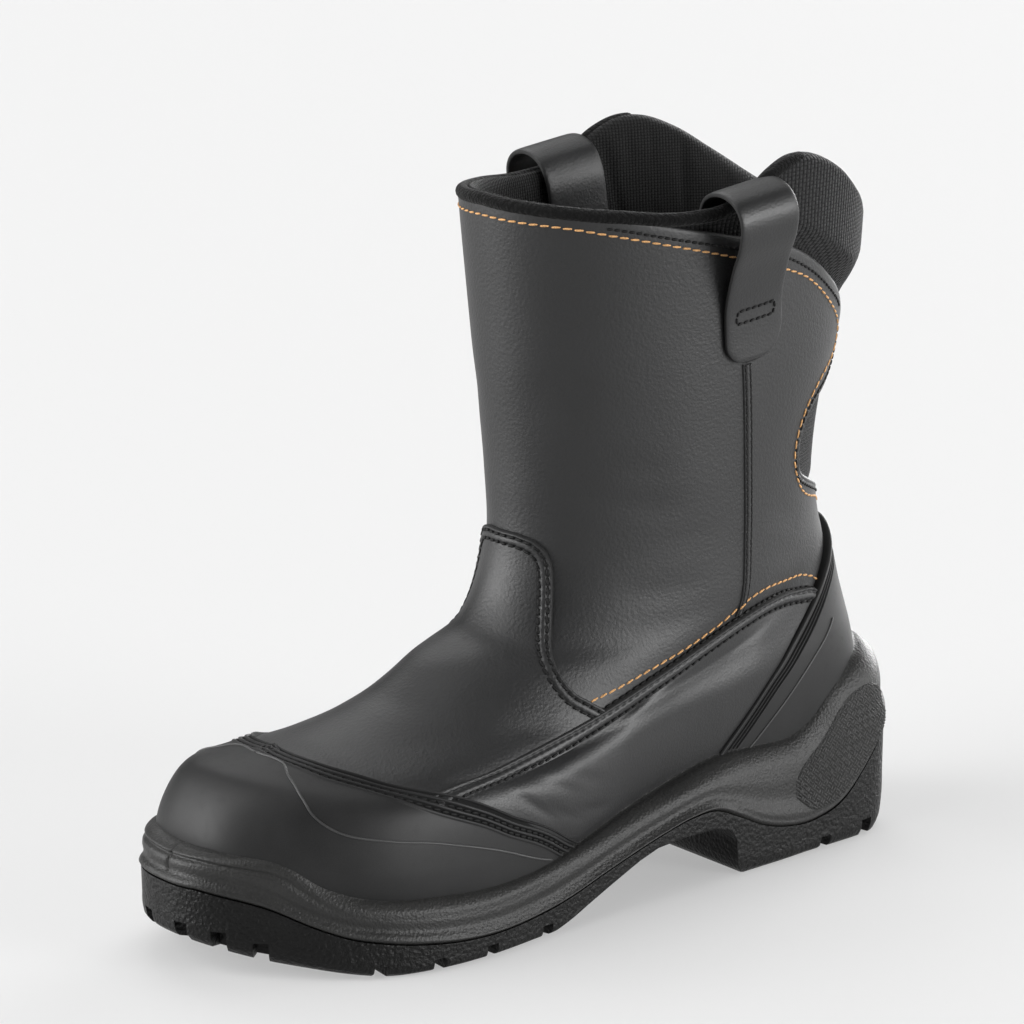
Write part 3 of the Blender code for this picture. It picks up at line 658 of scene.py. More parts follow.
def face_outwards(mesh: Mesh) -> None:
    """Turns a mesh's faces outwards."""
    bmesh.ops.recalc_face_normals(mesh, faces=mesh.faces)


def spread(stops: Sequence[Pair]) -> Callable[[Array], Array]:
    """A map from evenly spread rows to unevenly spread places, straight between stops."""
    places, values = zip(*stops)
    return lambda row: np.interp(row, places, values)


def add_piece(
    name: str,
    mesh: Mesh,
    finishes: Sequence[Material],
    nodes: Sequence[str] = (),
    slot: str | None = None,
) -> bpy.types.Object:
    """Makes a mesh a piece of the boot.

    Args:
        name: The piece's name.
        mesh: Its mesh, which is freed.
        finishes: Its materials.
        nodes: CAD nodes that it stands for.
        slot: The record's material slot; not used.

    Returns:
        The new object.
    """
    data = bpy.data.meshes.new(name)
    mesh.to_mesh(data)
    mesh.free()
    data.shade_smooth()
    for finish in finishes:
        data.materials.append(finish)
    piece = bpy.data.objects.new(name, data)
    bpy.context.scene.collection.objects.link(piece)
    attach(piece, BODY)
    if nodes:
        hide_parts(*nodes)
    LOG.info("%s: %d faces", name, len(data.polygons))
    return piece


def apply_modifiers(piece: bpy.types.Object) -> None:
    """Makes what a piece's modifiers give its own mesh.

    Args:
        piece: The piece, whose modifiers are removed.
    """
    graph = bpy.context.evaluated_depsgraph_get()
    shown = piece.evaluated_get(graph)
    data = bpy.data.meshes.new_from_object(shown, preserve_all_data_layers=True, depsgraph=graph)
    piece.modifiers.clear()
    piece.data = data


def cut_away(piece: bpy.types.Object, cutter: Mesh) -> None:
    """Takes a closed mesh's volume out of a piece.

    Args:
        piece: The piece that is cut.
        cutter: The closed mesh, which is freed.
    """
    face_outwards(cutter)
    data = bpy.data.meshes.new("cutter")
    cutter.to_mesh(data)
    cutter.free()
    tool = bpy.data.objects.new("cutter", data)
    bpy.context.scene.collection.objects.link(tool)
    taken = piece.modifiers.new("cut", "BOOLEAN")
    taken.operation = "DIFFERENCE"
    taken.solver = "EXACT"
    taken.object = tool
    apply_modifiers(piece)
    bpy.data.objects.remove(tool, do_unlink=True)


def prism(outline: Sequence[tuple[float, ...]], shift: tuple[float, ...]) -> Mesh:
    """A flat outline pushed along a direction, both in the boot's own coordinates.

    Args:
        outline: The outline's corners.
        shift: How far it is pushed along, across and up.

    Returns:
        A new closed mesh.
    """
    mesh = bmesh.new()
    face = mesh.faces.new([mesh.verts.new(point) for point in place(np.array(outline, float))])
    pushed = bmesh.ops.extrude_face_region(mesh, geom=[face])
    moved = [item for item in pushed["geom"] if isinstance(item, bmesh.types.BMVert)]
    bmesh.ops.translate(mesh, verts=moved, vec=Vector((-shift[0], -shift[1], shift[2])) * MM)
    return mesh


# Shader maths


class Value:
    """A number that varies over a surface: operators on it add Math nodes."""

    def __init__(self, graph: "Graph", socket: bpy.types.NodeSocket | None) -> None:
        """Wraps an output socket of a graph's node."""
        self.graph = graph
        self.socket = socket

    def math(self, operation: str, *others: "Value | float") -> "Value":
        """A Math node on this value and others."""
        return self.graph.node("ShaderNodeMath", {"operation": operation}, dict(enumerate((self, *others))))

    def __add__(self, other: "Value | float") -> "Value":
        """Sum."""
        return self.math("ADD", other)

    __radd__ = __add__

    def __mul__(self, other: "Value | float") -> "Value":
        """Product."""
        return self.math("MULTIPLY", other)

    __rmul__ = __mul__

    def __sub__(self, other: "Value | float") -> "Value":
        """Difference."""
        return self.math("SUBTRACT", other)

    def __rsub__(self, other: float) -> "Value":
        """Difference from a number."""
        return self * -1.0 + other

    def __truediv__(self, other: "Value | float") -> "Value":
        """Quotient."""
        return self.math("DIVIDE", other)

    def __pow__(self, other: float) -> "Value":
        """Power."""
        return self.math("POWER", other)

    def __mod__(self, other: float) -> "Value":
        """Remainder, never negative."""
        return self.math("FLOORED_MODULO", other)

    def floor(self) -> "Value":
        """Whole part."""
        return self.math("FLOOR")

    def between(self, low: float, high: float) -> "Value":
        """0 at low, 1 at high, a soft ramp between and held beyond.

        Args:
            low: Where the ramp starts.
            high: Where it ends.

        Returns:
            The ramp's value.
        """
        return self.graph.node(
            "ShaderNodeMapRange",
            {"interpolation_type": "SMOOTHSTEP"},
            {"Value": self, "From Min": low, "From Max": high},
        )


class Graph:
    """A material's nodes."""

    def __init__(self, name: str) -> None:
        """Starts a material with an empty graph.

        Args:
            name: The material's name.
        """
        self.material = bpy.data.materials.new(name)
        self.material.use_nodes = True
        self.tree = self.material.node_tree
        self.tree.nodes.clear()

    def node(
        self,
        kind: str,
        settings: dict[str, object] | None = None,
        inputs: dict[str | int, object] | None = None,
        output: str | int = 0,
    ) -> Value:
        """Adds a node.

        Args:
            kind: The node's type.
            settings: Its properties, which are set first.
            inputs: Values or links of its sockets.
            output: The output to wrap.

        Returns:
            The wrapped output.
        """
        made = self.tree.nodes.new(kind)
        for name, setting in (settings or {}).items():
            setattr(made, name, setting)
        for name, value in (inputs or {}).items():
            if isinstance(value, Value):
                self.tree.links.new(value.socket, made.inputs[name])
            else:
                made.inputs[name].default_value = value
        return Value(self, made.outputs[output] if len(made.outputs) else None)

    def spot(self, system: "System") -> Value:
        """Coordinates of a surface.

        Args:
            system: Which coordinates.

        Returns:
            The coordinates.
        """
        if system is System.CLOTH:
            return self.node("ShaderNodeUVMap", {"uv_map": system.value})
        return self.node("ShaderNodeTexCoord", output=system.value)

    def split(self, vector: Value) -> tuple[Value, Value]:
        """The first two parts of a vector."""
        first = self.node("ShaderNodeSeparateXYZ", inputs={0: vector})
        return first, Value(self, first.socket.node.outputs[1])

    def noise(self, spot: Value, size: float, detail: float = 3.0) -> Value:
        """Cloudy noise, with patches of a size in millimetres."""
        inputs = {"Vector": spot, "Scale": 1 / (size * MM), "Detail": detail}
        return self.node("ShaderNodeTexNoise", inputs=inputs)

    def cells(self, spot: Value, size: float, feature: str = "SMOOTH_F1") -> Value:
        """Distance from the middles of cells of a size in millimetres."""
        inputs = {"Vector": spot, "Scale": 1 / (size * MM)}
        return self.node("ShaderNodeTexVoronoi", {"feature": feature}, inputs, "Distance")

    def tint(self, factor: Value, colour: Colour, dark: float, light: float) -> Value:
        """A colour between its darker and its lighter share, by a factor from 0 to 1."""
        first, second = ((*(part * share for part in colour), 1.0) for share in (dark, light))
        return self.node("ShaderNodeMix", {"data_type": "RGBA"}, {0: factor, 6: first, 7: second}, 2)

    def dark(self) -> Value:
        """How much painted shade darkens a face, in its grooves and furrows and at its edges."""
        return self.node("ShaderNodeAttribute", {"attribute_name": SHADE}, output="Fac")

    def bump(self, height: Value, depth: float, strength: float = 1.0) -> Value:
        """A bumpy normal, with a depth in millimetres."""
        inputs = {"Height": height, "Distance": depth * MM, "Strength": strength}
        return self.node("ShaderNodeBump", inputs=inputs, output="Normal")

    def shade(self, inputs: dict[str, object]) -> Material:
        """Ends the graph in a Principled shader.

        Args:
            inputs: Values or links of the shader's sockets.

        Returns:
            The finished material.
        """
        shader = self.node("ShaderNodeBsdfPrincipled", inputs=inputs)
        self.node("ShaderNodeOutputMaterial", inputs={"Surface": shader})
        return self.material


class System(Enum):
    """Coordinates that a pattern follows."""

    OBJECT = "Object"
    CLOTH = CLOTH_MAP


@dataclass(frozen=True)
class Leather:
    """Full-grain leather: fine pebbled grain, soft sheen and slight patches."""

    name: str
    colour: Colour = (0.0062, 0.0063, 0.0067)
    roughness: float = 0.50
    grain_size: float = 1.1
    grain_depth: float = 0.20

    def dress(self) -> Material:
        """Makes the material.

        Returns:
            The finished material.
        """
        graph = Graph(self.name)
        spot = graph.spot(System.OBJECT)
        grain = graph.cells(spot, self.grain_size) * 0.7 + graph.noise(spot, self.grain_size * 0.4) * 0.5
        patches = graph.noise(spot, 26.0, 4.0)
        scuffs = graph.noise(spot, 5.0, 5.0).between(0.62, 0.78)
        # Painted shade: the face is darker and rougher where the shade attribute marks grooves, furrows and
        # edges
        light = 1 - graph.dark()
        tone = ((patches * 0.8 + grain * 0.25).between(0.2, 1.0) * 0.6 + 0.4) * light
        inputs = {
            "Base Color": graph.tint(tone, self.colour, 0.2, 1.35),
            "Roughness": patches * 0.16 + scuffs * 0.05 + (self.roughness + 0.27) - light * 0.35,
            "Normal": graph.bump(grain, self.grain_depth, 0.75),
            "Specular IOR Level": 0.56,
        }
        return graph.shade(inputs)


@dataclass(frozen=True)
class Rubber:
    """Moulded rubber or foam with a pebbled or a smooth face."""

    name: str
    colour: Colour
    roughness: float
    pebble_size: float
    pebble_depth: float
    gloss: float = 0.5

    def dress(self) -> Material:
        """Makes the material.

        Returns:
            The finished material.
        """
        graph = Graph(self.name)
        spot = graph.spot(System.OBJECT)
        pebble = graph.cells(spot, self.pebble_size) * 0.8 + graph.noise(spot, self.pebble_size * 0.5) * 0.5
        patches = graph.noise(spot, 18.0, 3.0)
        dust = graph.noise(spot, 3.0, 4.0).between(0.5, 0.8)
        # Painted shade: the face is darker and rougher where the shade attribute marks grooves, hollows and
        # edges
        light = 1 - graph.dark()
        tone = ((patches * 0.7 + pebble * 0.4).between(0.2, 1.0) * 0.7 + 0.3) * light
        inputs = {
            "Base Color": graph.tint(tone, self.colour, 0.25, 1.4),
            "Roughness": patches * 0.14 + dust * 0.06 + (self.roughness + 0.26) - light * 0.35,
            "Normal": graph.bump(pebble, self.pebble_depth, 0.8),
            "Specular IOR Level": self.gloss,
        }
        return graph.shade(inputs)


@dataclass(frozen=True)
class Weave:
    """Coarse textile of flat threads that pass over and under each other."""

    name: str
    colour: Colour = (0.006, 0.006, 0.0064)
    pitch: float = 1.5
    depth: float = 0.5

    def dress(self) -> Material:
        """Makes the material.

        Returns:
            The finished material.
        """
        graph = Graph(self.name)
        across, up = graph.split(graph.spot(System.CLOTH))
        across = across / self.pitch
        up = up / self.pitch
        over = (across.floor() + up.floor()) % 2.0
        warp = 1 - ((across % 1.0) * 2 - 1) ** 2
        weft = 1 - ((up % 1.0) * 2 - 1) ** 2
        height = over * warp * (weft * 0.5 + 0.5) + (1 - over) * weft * (warp * 0.5 + 0.5)
        fibre = graph.noise(graph.spot(System.OBJECT), 0.5, 2.0)
        tone = (height * 0.8 + fibre * 0.3).between(0.1, 1.0)
        inputs = {
            "Base Color": graph.tint(tone, self.colour, 0.3, 1.5),
            "Roughness": 0.95 - height * 0.25,
            "Normal": graph.bump(height + fibre * 0.15, self.depth),
            "Specular IOR Level": 0.3,
            "Sheen Weight": 0.05,
            "Sheen Roughness": 0.5,
        }
        return graph.shade(inputs)


@dataclass(frozen=True)
class Pile:
    """Soft knitted lining with a short nap."""

    name: str
    colour: Colour = (0.003, 0.003, 0.003)
    loop_size: float = 1.3
    depth: float = 0.6

    def dress(self) -> Material:
        """Makes the material.

        Returns:
            The finished material.
        """
        graph = Graph(self.name)
        spot = graph.spot(System.OBJECT)
        loops = graph.cells(spot, self.loop_size, "F1")
        nap = graph.noise(spot, 0.35, 3.0)
        height = (1 - loops) * 0.7 + nap * 0.5
        tone = height.between(0.3, 1.1)
        inputs = {
            "Base Color": graph.tint(tone, self.colour, 0.4, 1.7),
            "Roughness": 0.85 + nap * 0.15,
            "Normal": graph.bump(height, self.depth),
            "Specular IOR Level": 0.2,
            "Sheen Weight": 0.08,
            "Sheen Roughness": 0.4,
        }
        return graph.shade(inputs)


@dataclass(frozen=True)
class ThreadFinish:
    """Twisted sewing thread."""

    name: str
    colour: Colour

    def dress(self) -> Material:
        """Makes the material.

        Returns:
            The finished material.
        """
        graph = Graph(self.name)
        spot = graph.spot(System.OBJECT)
        twist = graph.noise(spot, 0.45, 2.0)
        tone = twist.between(0.3, 0.7)
        inputs = {
            "Base Color": graph.tint(tone, self.colour, 0.6, 1.25),
            "Roughness": 0.6 + twist * 0.2,
            "Normal": graph.bump(twist, 0.15),
            "Specular IOR Level": 0.3,
        }
        return graph.shade(inputs)


class Finishes:
    """The boot's materials, each made once."""

    def __init__(self) -> None:
        """Makes every material."""
        self.leather = Leather("full_grain_leather").dress()
        self.smooth_leather = Leather("smooth_leather", (0.0062, 0.0063, 0.0067), 0.46, 0.9, 0.14).dress()
        self.raw_edge = Rubber("cut_leather_edge", (0.006, 0.006, 0.006), 0.8, 0.5, 0.12).dress()
        self.cap = Rubber("moulded_cap", (0.011, 0.011, 0.0112), 0.54, 0.35, 0.02, 0.30).dress()
        # Lighter than the cap's rubber: a painted highlight along the raised mould lines
        self.mould_line_painted_highlight = Rubber("mould_line_painted_highlight", (0.035, 0.035, 0.035), 0.50, 0.35, 0.01).dress()
        self.midsole = Rubber("pebbled_midsole", (0.012, 0.0119, 0.0114), 0.50, 0.9, 0.30, 0.40).dress()
        self.outsole = Rubber("pebbled_outsole", (0.003, 0.003, 0.0029), 0.44, 1.4, 0.80, 0.20).dress()
        self.weave = Weave("woven_textile").dress()
        self.lining = Weave("knitted_lining", (0.0025, 0.0025, 0.0025), 1.1, 0.25).dress()
        self.pile = Pile("pile_lining").dress()
        self.felt = Pile("insole_felt", (0.02, 0.02, 0.022), 0.8, 0.2).dress()
        self.tan_thread = ThreadFinish("tan_thread", (0.62, 0.34, 0.14)).dress()
        self.black_thread = ThreadFinish("black_thread", (0.003, 0.003, 0.003)).dress()


# Upper


@dataclass
class Shaft:
    """The leather upper: one shell from sole to collar, with its opening at the back."""

    finishes: Finishes
    wall: float = 2.0
    columns: int = 240
    rows: int = 190
    opening_depth: Pair = (-30.0, 82.0)
    edge_sewn: Pair = (38.0, 133.0)
    edge_inset: float = 1.8
    creases: tuple[Crease, ...] = (
        Crease(150, 7.90, 104, 7.62, 5.0, 0.35), Crease(143, 8.25, 112, 8.05, 4.0, 0.22),
        Crease(128, 6.65, 92, 6.45, 6.0, 0.45), Crease(120, 6.10, 84, 5.95, 5.0, 0.35),
        Crease(168, 8.60, 138, 8.90, 9.0, 0.40), Crease(110, 9.20, 104, 7.20, 14.0, -0.50),
        Crease(72, 7.20, 50, 6.30, 6.0, 0.35), Crease(70, 6.40, 46, 5.50, 5.0, 0.30),
        Crease(212, 7.80, 255, 7.55, 5.0, 0.35), Crease(232, 6.60, 266, 6.40, 6.0, 0.45),
        Crease(242, 6.05, 276, 5.95, 5.0, 0.35), Crease(290, 7.10, 312, 6.30, 6.0, 0.35),
        Crease(195, 8.60, 224, 8.85, 9.0, 0.40),
    )

    def shape(self, column: Array, row: Array) -> Array:
        """The shell's section: up the outer face, over the rim and down the inner face.

        Args:
            column: Shares along the grid.
            row: Shares across it.

        Returns:
            Points in the boot's own coordinates.
        """
        degrees = 360 * (1 - column)
        share = spread(((0, 0), (0.09, 0.28), (0.66, 1), (0.70, 1), (0.94, 0.28), (0.99, 0), (1, 0)))(row)
        over = np.clip((row - 0.66) / 0.04, 0, 1) * np.pi
        under = np.clip((row - 0.99) / 0.01, 0, 1)
        level = edge_level(LEATHER_EDGE, degrees) * share + 0.055 * np.sin(over)
        depth = self.wall / 2 * (1 - np.cos(over)) * (1 - under)
        points = LAST.surface(degrees, level)
        press = sum(crease.press(points) for crease in self.creases)
        return LAST.offset(degrees, level, press * (over < np.pi) - depth)

    def build(self) -> BVHTree:
        """Makes the shell and cuts its opening.

        Returns:
            The shell's faces, for seams to sit on.
        """
        mesh = mapped_grid(self.columns, self.rows, self.shape)
        face_outwards(mesh)
        seat = BVHTree.FromBMesh(mesh)
        piece = add_piece("upper_leather", mesh, [self.finishes.leather], ["upper"], "leather")
        heights = np.linspace(REAR_OPENING.rows[0][0], REAR_OPENING.rows[-1][0], 70)
        half = REAR_OPENING.at(heights, "half")
        start, end = self.opening_depth
        right = [(start, across, height) for across, height in zip(half, heights)]
        left = [(start, -across, height) for across, height in zip(half[:0:-1], heights[:0:-1])]
        cut_away(piece, prism(right + left, (end - start, 0, 0)))
        return seat

    def edge_rows(self) -> Iterator[Array]:
        """Lines for the thread just inside the leather's edge, at the collar and round the rear opening."""
        start, end = self.edge_sewn
        for side, limits in ((1, (start, end)), (-1, (360 - end, 360 - start))):
            yield Edge(LEATHER_EDGE, limits, self.edge_inset).line(self.edge_inset)
            degrees, level = self.opening_edge(side)
            ahead = np.gradient(LAST.surface(degrees, level), axis=0)
            away = unit(np.cross(ahead, LAST.normal(degrees, level)) * -side)
            yield LAST.surface(degrees, level) + away * self.edge_inset

    def opening_edge(self, side: int) -> tuple[Array, Array]:
        """The opening's edge on one side, as degrees and levels from its foot up.

        Args:
            side: 1 for the outer side, -1 for the inner one.

        Returns:
            Angles and levels of the edge's points.
        """
        angles = np.linspace(0.5, 80, 400)
        found = []
        for level in np.linspace(6.0, 9.0, 420):
            points = LAST.surface(side * angles, np.full(angles.shape, level))
            inside = REAR_OPENING.at(points[:, 2], "half") - np.abs(points[:, 1])
            edge = edge_level(LEATHER_EDGE, angles)
            if points[0, 2] < REAR_OPENING.rows[0][0] or inside[0] < 0:
                continue
            angle = np.interp(0, -inside, angles)
            if level < np.interp(angle, angles, edge):
                found.append((side * angle, level))
        degrees, levels = np.array(found).T
        return degrees, levels


@dataclass
class OpeningEdge:
    """The turned leather edge round the opening at the shaft's back."""

    finishes: Finishes
    shaft: Shaft
    radius: float = 1.15

    def build(self) -> None:
        """Sweeps a round bead along the opening's edge on both sides."""
        lines = [np.column_stack(self.shaft.opening_edge(side)) for side in SIDES]
        path = np.concatenate((lines[0][::-1], lines[1]))
        middle = evenly(LAST.offset(path[:, 0], path[:, 1], -self.shaft.wall / 2), 1.0)
        mesh = sweep(middle, self.radius, 10, (1.0, 0.0, 0.0))
        add_piece("opening_edge", mesh, [self.finishes.leather], slot="leather")


def sweep(path: Array, radius: float, around: int, up: Array | tuple[float, ...]) -> Mesh:
    """A round bead along a path, closed at its ends.

    Args:
        path: Points in the boot's own coordinates.
        radius: The bead's radius.
        around: Faces round it.
        up: A direction that the path never follows, or one for each point.

    Returns:
        A new mesh.
    """
    tangent = unit(np.gradient(path, axis=0))
    side = unit(np.cross(tangent, up))
    other = np.cross(tangent, side)

    def shape(column: Array, row: Array) -> Array:
        """Points round the path, drawn together at its ends.

        Args:
            column: Shares along the grid.
            row: Shares across it.

        Returns:
            Points in the boot's own coordinates.
        """
        index = np.rint(column * (len(path) - 1)).astype(int)
        turn = row * 2 * np.pi
        reach = radius * rounded(np.minimum(index, len(path) - 1 - index) * 1.0, 2.0)
        across = side[index] * np.cos(turn)[:, None] + other[index] * np.sin(turn)[:, None]
        return path[index] + across * reach[:, None]

    mesh = mapped_grid(len(path) - 1, around, shape)
    face_outwards(mesh)
    return mesh


def groove(distance: Array, half: float, soft: float) -> Array:
    """1 on a groove's floor and 0 beyond its soft walls."""
    return smooth_step(half + soft, half, np.abs(distance))


@dataclass
class Panel:
    """A piece laid on the upper below an edge: a finely shaped strip along it, and the face below."""

    finishes: Finishes
    name: str
    nodes: tuple[str, ...]
    edge: Edge
    columns: int
    rows: int = 60
    thickness: float = 1.2
    edge_round: float = 1.0
    fold: float = 0.60
    fold_width: float = 5.6
    tuck: float = 0.25
    lap: float = 0.04
    calm: float = 8.0
    pitch: float = 3.3
    rows_sewn: tuple[float, ...] = ()
    row_width: float = 0.6
    pull: float = 0.70
    sunk: float = 0.4
    turn: float = 1.4
    # Painted shade: where it fades in from the cut edge, and how much of it lies in the sewn furrows
    edge_painted_shade: Pair = (0.9, 0.3)
    row_painted_shade: float = 0.40
    swell: float = 0.0
    swell_height: Pair = (10.0, 36.0)

    def bottom(self, degrees: Array) -> Array:
        """Level of the lower edge."""
        raise NotImplementedError

    def profile(self, away: Array, spot: Array) -> tuple[Array, Array]:
        """A turned edge that swells up to its last sewn furrow, as leather panels have it.

        Args:
            away: Distances from the edge.
            spot: Numbers of the edge's points.

        Returns:
            Heights over the upper's face, and painted shade.
        """
        out = (self.thickness + self.sunk) * rounded(away, self.edge_round) - self.sunk
        out = out + self.fold * smooth_step(self.fold_width, self.fold_width - self.turn, away)
        furrow = self.furrow(away, spot)
        # Painted shade in the sewn furrows and along the cut edge
        shade = np.maximum(self.row_painted_shade * furrow, smooth_step(*self.edge_painted_shade, away))
        return out - self.pull * furrow, shade

    def furrow(self, away: Array, spot: Array) -> Array:
        """How far the thread pulls the leather in, most where it goes through.

        Args:
            away: Distances from the edge.
            spot: Numbers of the edge's points.

        Returns:
            1 at a stitch hole, less between two of them and 0 away from the rows.
        """
        depth = np.zeros(np.shape(away))
        for row in self.rows_sewn:
            holes = np.cos(np.pi * self.edge.stitched(row, self.pitch)[spot]) ** 2
            depth = depth + bell(away - row, self.row_width) * (0.45 + 0.55 * holes)
        return depth

    def press(self, points: Array) -> Array:
        """How far creases move the face."""
        return np.zeros(len(points))

    def shape(self, column: Array, row: Array) -> Array:
        """The face below the strip, which starts just under its last line.

        Args:
            column: Shares along the grid.
            row: Shares across it.

        Returns:
            Points in the boot's own coordinates.
        """
        line_degrees, line_level = self.edge.lines[-2]
        line_degrees = np.maximum.accumulate(line_degrees)
        degrees = line_degrees[-1] - column * (line_degrees[-1] - line_degrees[0])
        high = np.interp(degrees, line_degrees, line_level)
        low = np.minimum(self.bottom(degrees), high)
        level = low + (high - low) * row
        points = LAST.surface(degrees, level)
        away = np.linalg.norm(points - LAST.surface(degrees, high), axis=-1)
        flat, _ = self.profile(np.array(self.edge.width), np.array(0))
        tall = np.linalg.norm(LAST.surface(degrees, low) - LAST.surface(degrees, high), axis=-1)
        round_out = self.swell * np.sin(np.pi * row) * smooth_step(*self.swell_height, tall)
        out = flat - self.lap + round_out + self.press(points) * smooth_step(0, self.calm, away)
        return LAST.offset(degrees, level, out)

    def build(self, finish: Material, slot: str) -> BVHTree:
        """Makes the panel's face and the strip along its edge.

        Args:
            finish: Its material.
            slot: The record's material slot.

        Returns:
            The strip's faces, for seams to sit on.
        """
        mesh = mapped_grid(self.columns, self.rows, self.shape)
        add_piece(self.name, mesh, [finish], self.nodes, slot)
        strip = self.edge.band(self.profile)
        seat = BVHTree.FromBMesh(strip)
        add_piece(f"{self.name}_edge", strip, [finish], slot=slot)
        return seat


@dataclass
class MouldedPanel(Panel):
    """A moulded piece between the sole's lip and its edge, with grooves along the edge."""

    grooves: tuple[float, ...] = ()
    groove_walls: Pair = (0.45, 0.4)
    groove_depth: float = 0.95

    def bottom(self, degrees: Array) -> Array:
        """Level under the sole's lip."""
        return edge_level(LIP, degrees) - self.tuck

    def rim_height(self, away: Array) -> Array:
        """How far the edge stands over the piece's own face."""
        raise NotImplementedError

    def profile(self, away: Array, spot: Array) -> tuple[Array, Array]:
        """A rounded and raised edge, and the grooves in it or beside it.

        Args:
            away: Distances from the edge.
            spot: Numbers of the edge's points; not used.

        Returns:
            Heights over the upper's face, and painted shade.
        """
        out = (self.thickness + self.sunk) * rounded(away, self.edge_round) - self.sunk
        cut = sum(groove(away - line, *self.groove_walls) for line in self.grooves)
        # Painted shade in the grooves and along the edge
        shade = np.maximum(cut, smooth_step(*self.edge_painted_shade, away))
        return out + self.rim_height(away) - self.groove_depth * cut, shade


@dataclass
class ToeCap(MouldedPanel):
    """The moulded cap over the toe, with a raised rim and its sewn grooves."""

    thickness: float = 2.5
    edge_round: float = 0.7
    rim: float = 0.35
    rim_end: Pair = (7.8, 7.2)
    grooves: tuple[float, ...] = (1.6, 3.8, 6.0)

    def rim_height(self, away: Array) -> Array:
        """A flat rim."""
        return self.rim * smooth_step(*self.rim_end, away)


@dataclass
class HeelCounter(MouldedPanel):
    """The moulded piece round the heel, with a bead and three grooves along its edge."""

    thickness: float = 2.2
    edge_round: float = 1.2
    bead: float = 0.75
    bead_width: float = 3.0
    grooves: tuple[float, ...] = (3.4, 4.8, 6.2)
    groove_walls: Pair = (0.2, 0.35)
    groove_depth: float = 0.7

    def rim_height(self, away: Array) -> Array:
        """A round bead."""
        return self.bead * np.sin(np.pi * np.clip(away / self.bead_width, 0, 1))


@dataclass
class Quarter(Panel):
    """A leather panel along one side of the foot, with its folded and sewn upper edge."""

    side: int = 1
    thickness: float = 1.5
    fold: float = 0.75
    fold_width: float = 5.8
    rows_sewn: tuple[float, ...] = (1.6, 4.6)
    pull: float = 0.80
    swell: float = 2.8
    creases: tuple[Crease, ...] = (
        Crease(112, 2.30, 100, 1.30, 2.2, 0.40), Crease(109, 2.05, 98, 1.10, 1.8, 0.35),
        Crease(106, 2.35, 95, 1.50, 2.2, 0.35), Crease(103, 1.70, 93, 0.80, 2.0, 0.40),
        Crease(100, 2.20, 90, 1.40, 2.6, 0.30), Crease(97, 1.30, 88, 0.70, 2.2, 0.35),
        Crease(114, 1.90, 105, 1.15, 1.6, 0.30), Crease(94, 2.60, 72, 2.10, 7.0, 0.55),
        Crease(84, 3.70, 58, 3.20, 8.0, 0.45), Crease(98, 3.20, 76, 2.75, 7.0, -0.50),
    )

    def bottom(self, degrees: Array) -> Array:
        """Level under the sole's lip, the cap and the counter."""
        under = np.maximum(edge_level(CAP_EDGE, degrees), edge_level(COUNTER_EDGE, degrees))
        return np.maximum(edge_level(LIP, degrees), under) - self.tuck

    def press(self, points: Array) -> Array:
        """The creases of walking, on the panel's own side."""
        return sum(crease.on_side(self.side).press(points) for crease in self.creases)


@dataclass
class Vamp(Panel):
    """The leather panel over the instep, with its sewn edge and its tongue up the shaft."""

    rows_sewn: tuple[float, ...] = (1.8, 4.6)
    creases: tuple[Crease, ...] = (
        Crease(152, 5.60, 208, 5.60, 7.0, 0.50), Crease(146, 5.05, 214, 5.05, 6.0, -0.40),
        Crease(148, 4.55, 212, 4.50, 6.0, 0.45), Crease(140, 3.75, 220, 3.70, 6.0, 0.35),
        Crease(136, 3.40, 172, 3.62, 4.0, 0.35), Crease(224, 3.40, 190, 3.60, 4.0, 0.35),
        Crease(132, 4.30, 112, 3.90, 5.0, 0.35), Crease(228, 4.30, 248, 3.90, 5.0, 0.35),
    )

    def bottom(self, degrees: Array) -> Array:
        """Level under the cap and the quarters."""
        return np.maximum(edge_level(CAP_EDGE, degrees), edge_level(QUARTER_EDGE, degrees)) - self.tuck

    def press(self, points: Array) -> Array:
        """Soft creases across the instep."""
        return sum(crease.press(points) for crease in self.creases)


@dataclass
class MouldLine:
    """A fine raised line on a moulded piece, on both sides of the boot."""

    # A lighter rubber than the piece's own: a painted highlight on the line
    finish: Material
    name: str
    table: Table
    out: float
    radius: float = 0.42

    def build(self) -> None:
        """Sweeps a thin bead over the piece's face."""
        steps = np.linspace(0, self.table.rows[-1][0], 260)
        for side, word in SIDES.items():
            degrees, level = side * self.table.at(steps, "degrees"), self.table.at(steps, "level")
            path = LAST.offset(degrees, level, self.out)
            mesh = sweep(path, self.radius, 8, LAST.normal(degrees, level))
            add_piece(f"{self.name}_{word}", mesh, [self.finish], slot="cap_rubber")


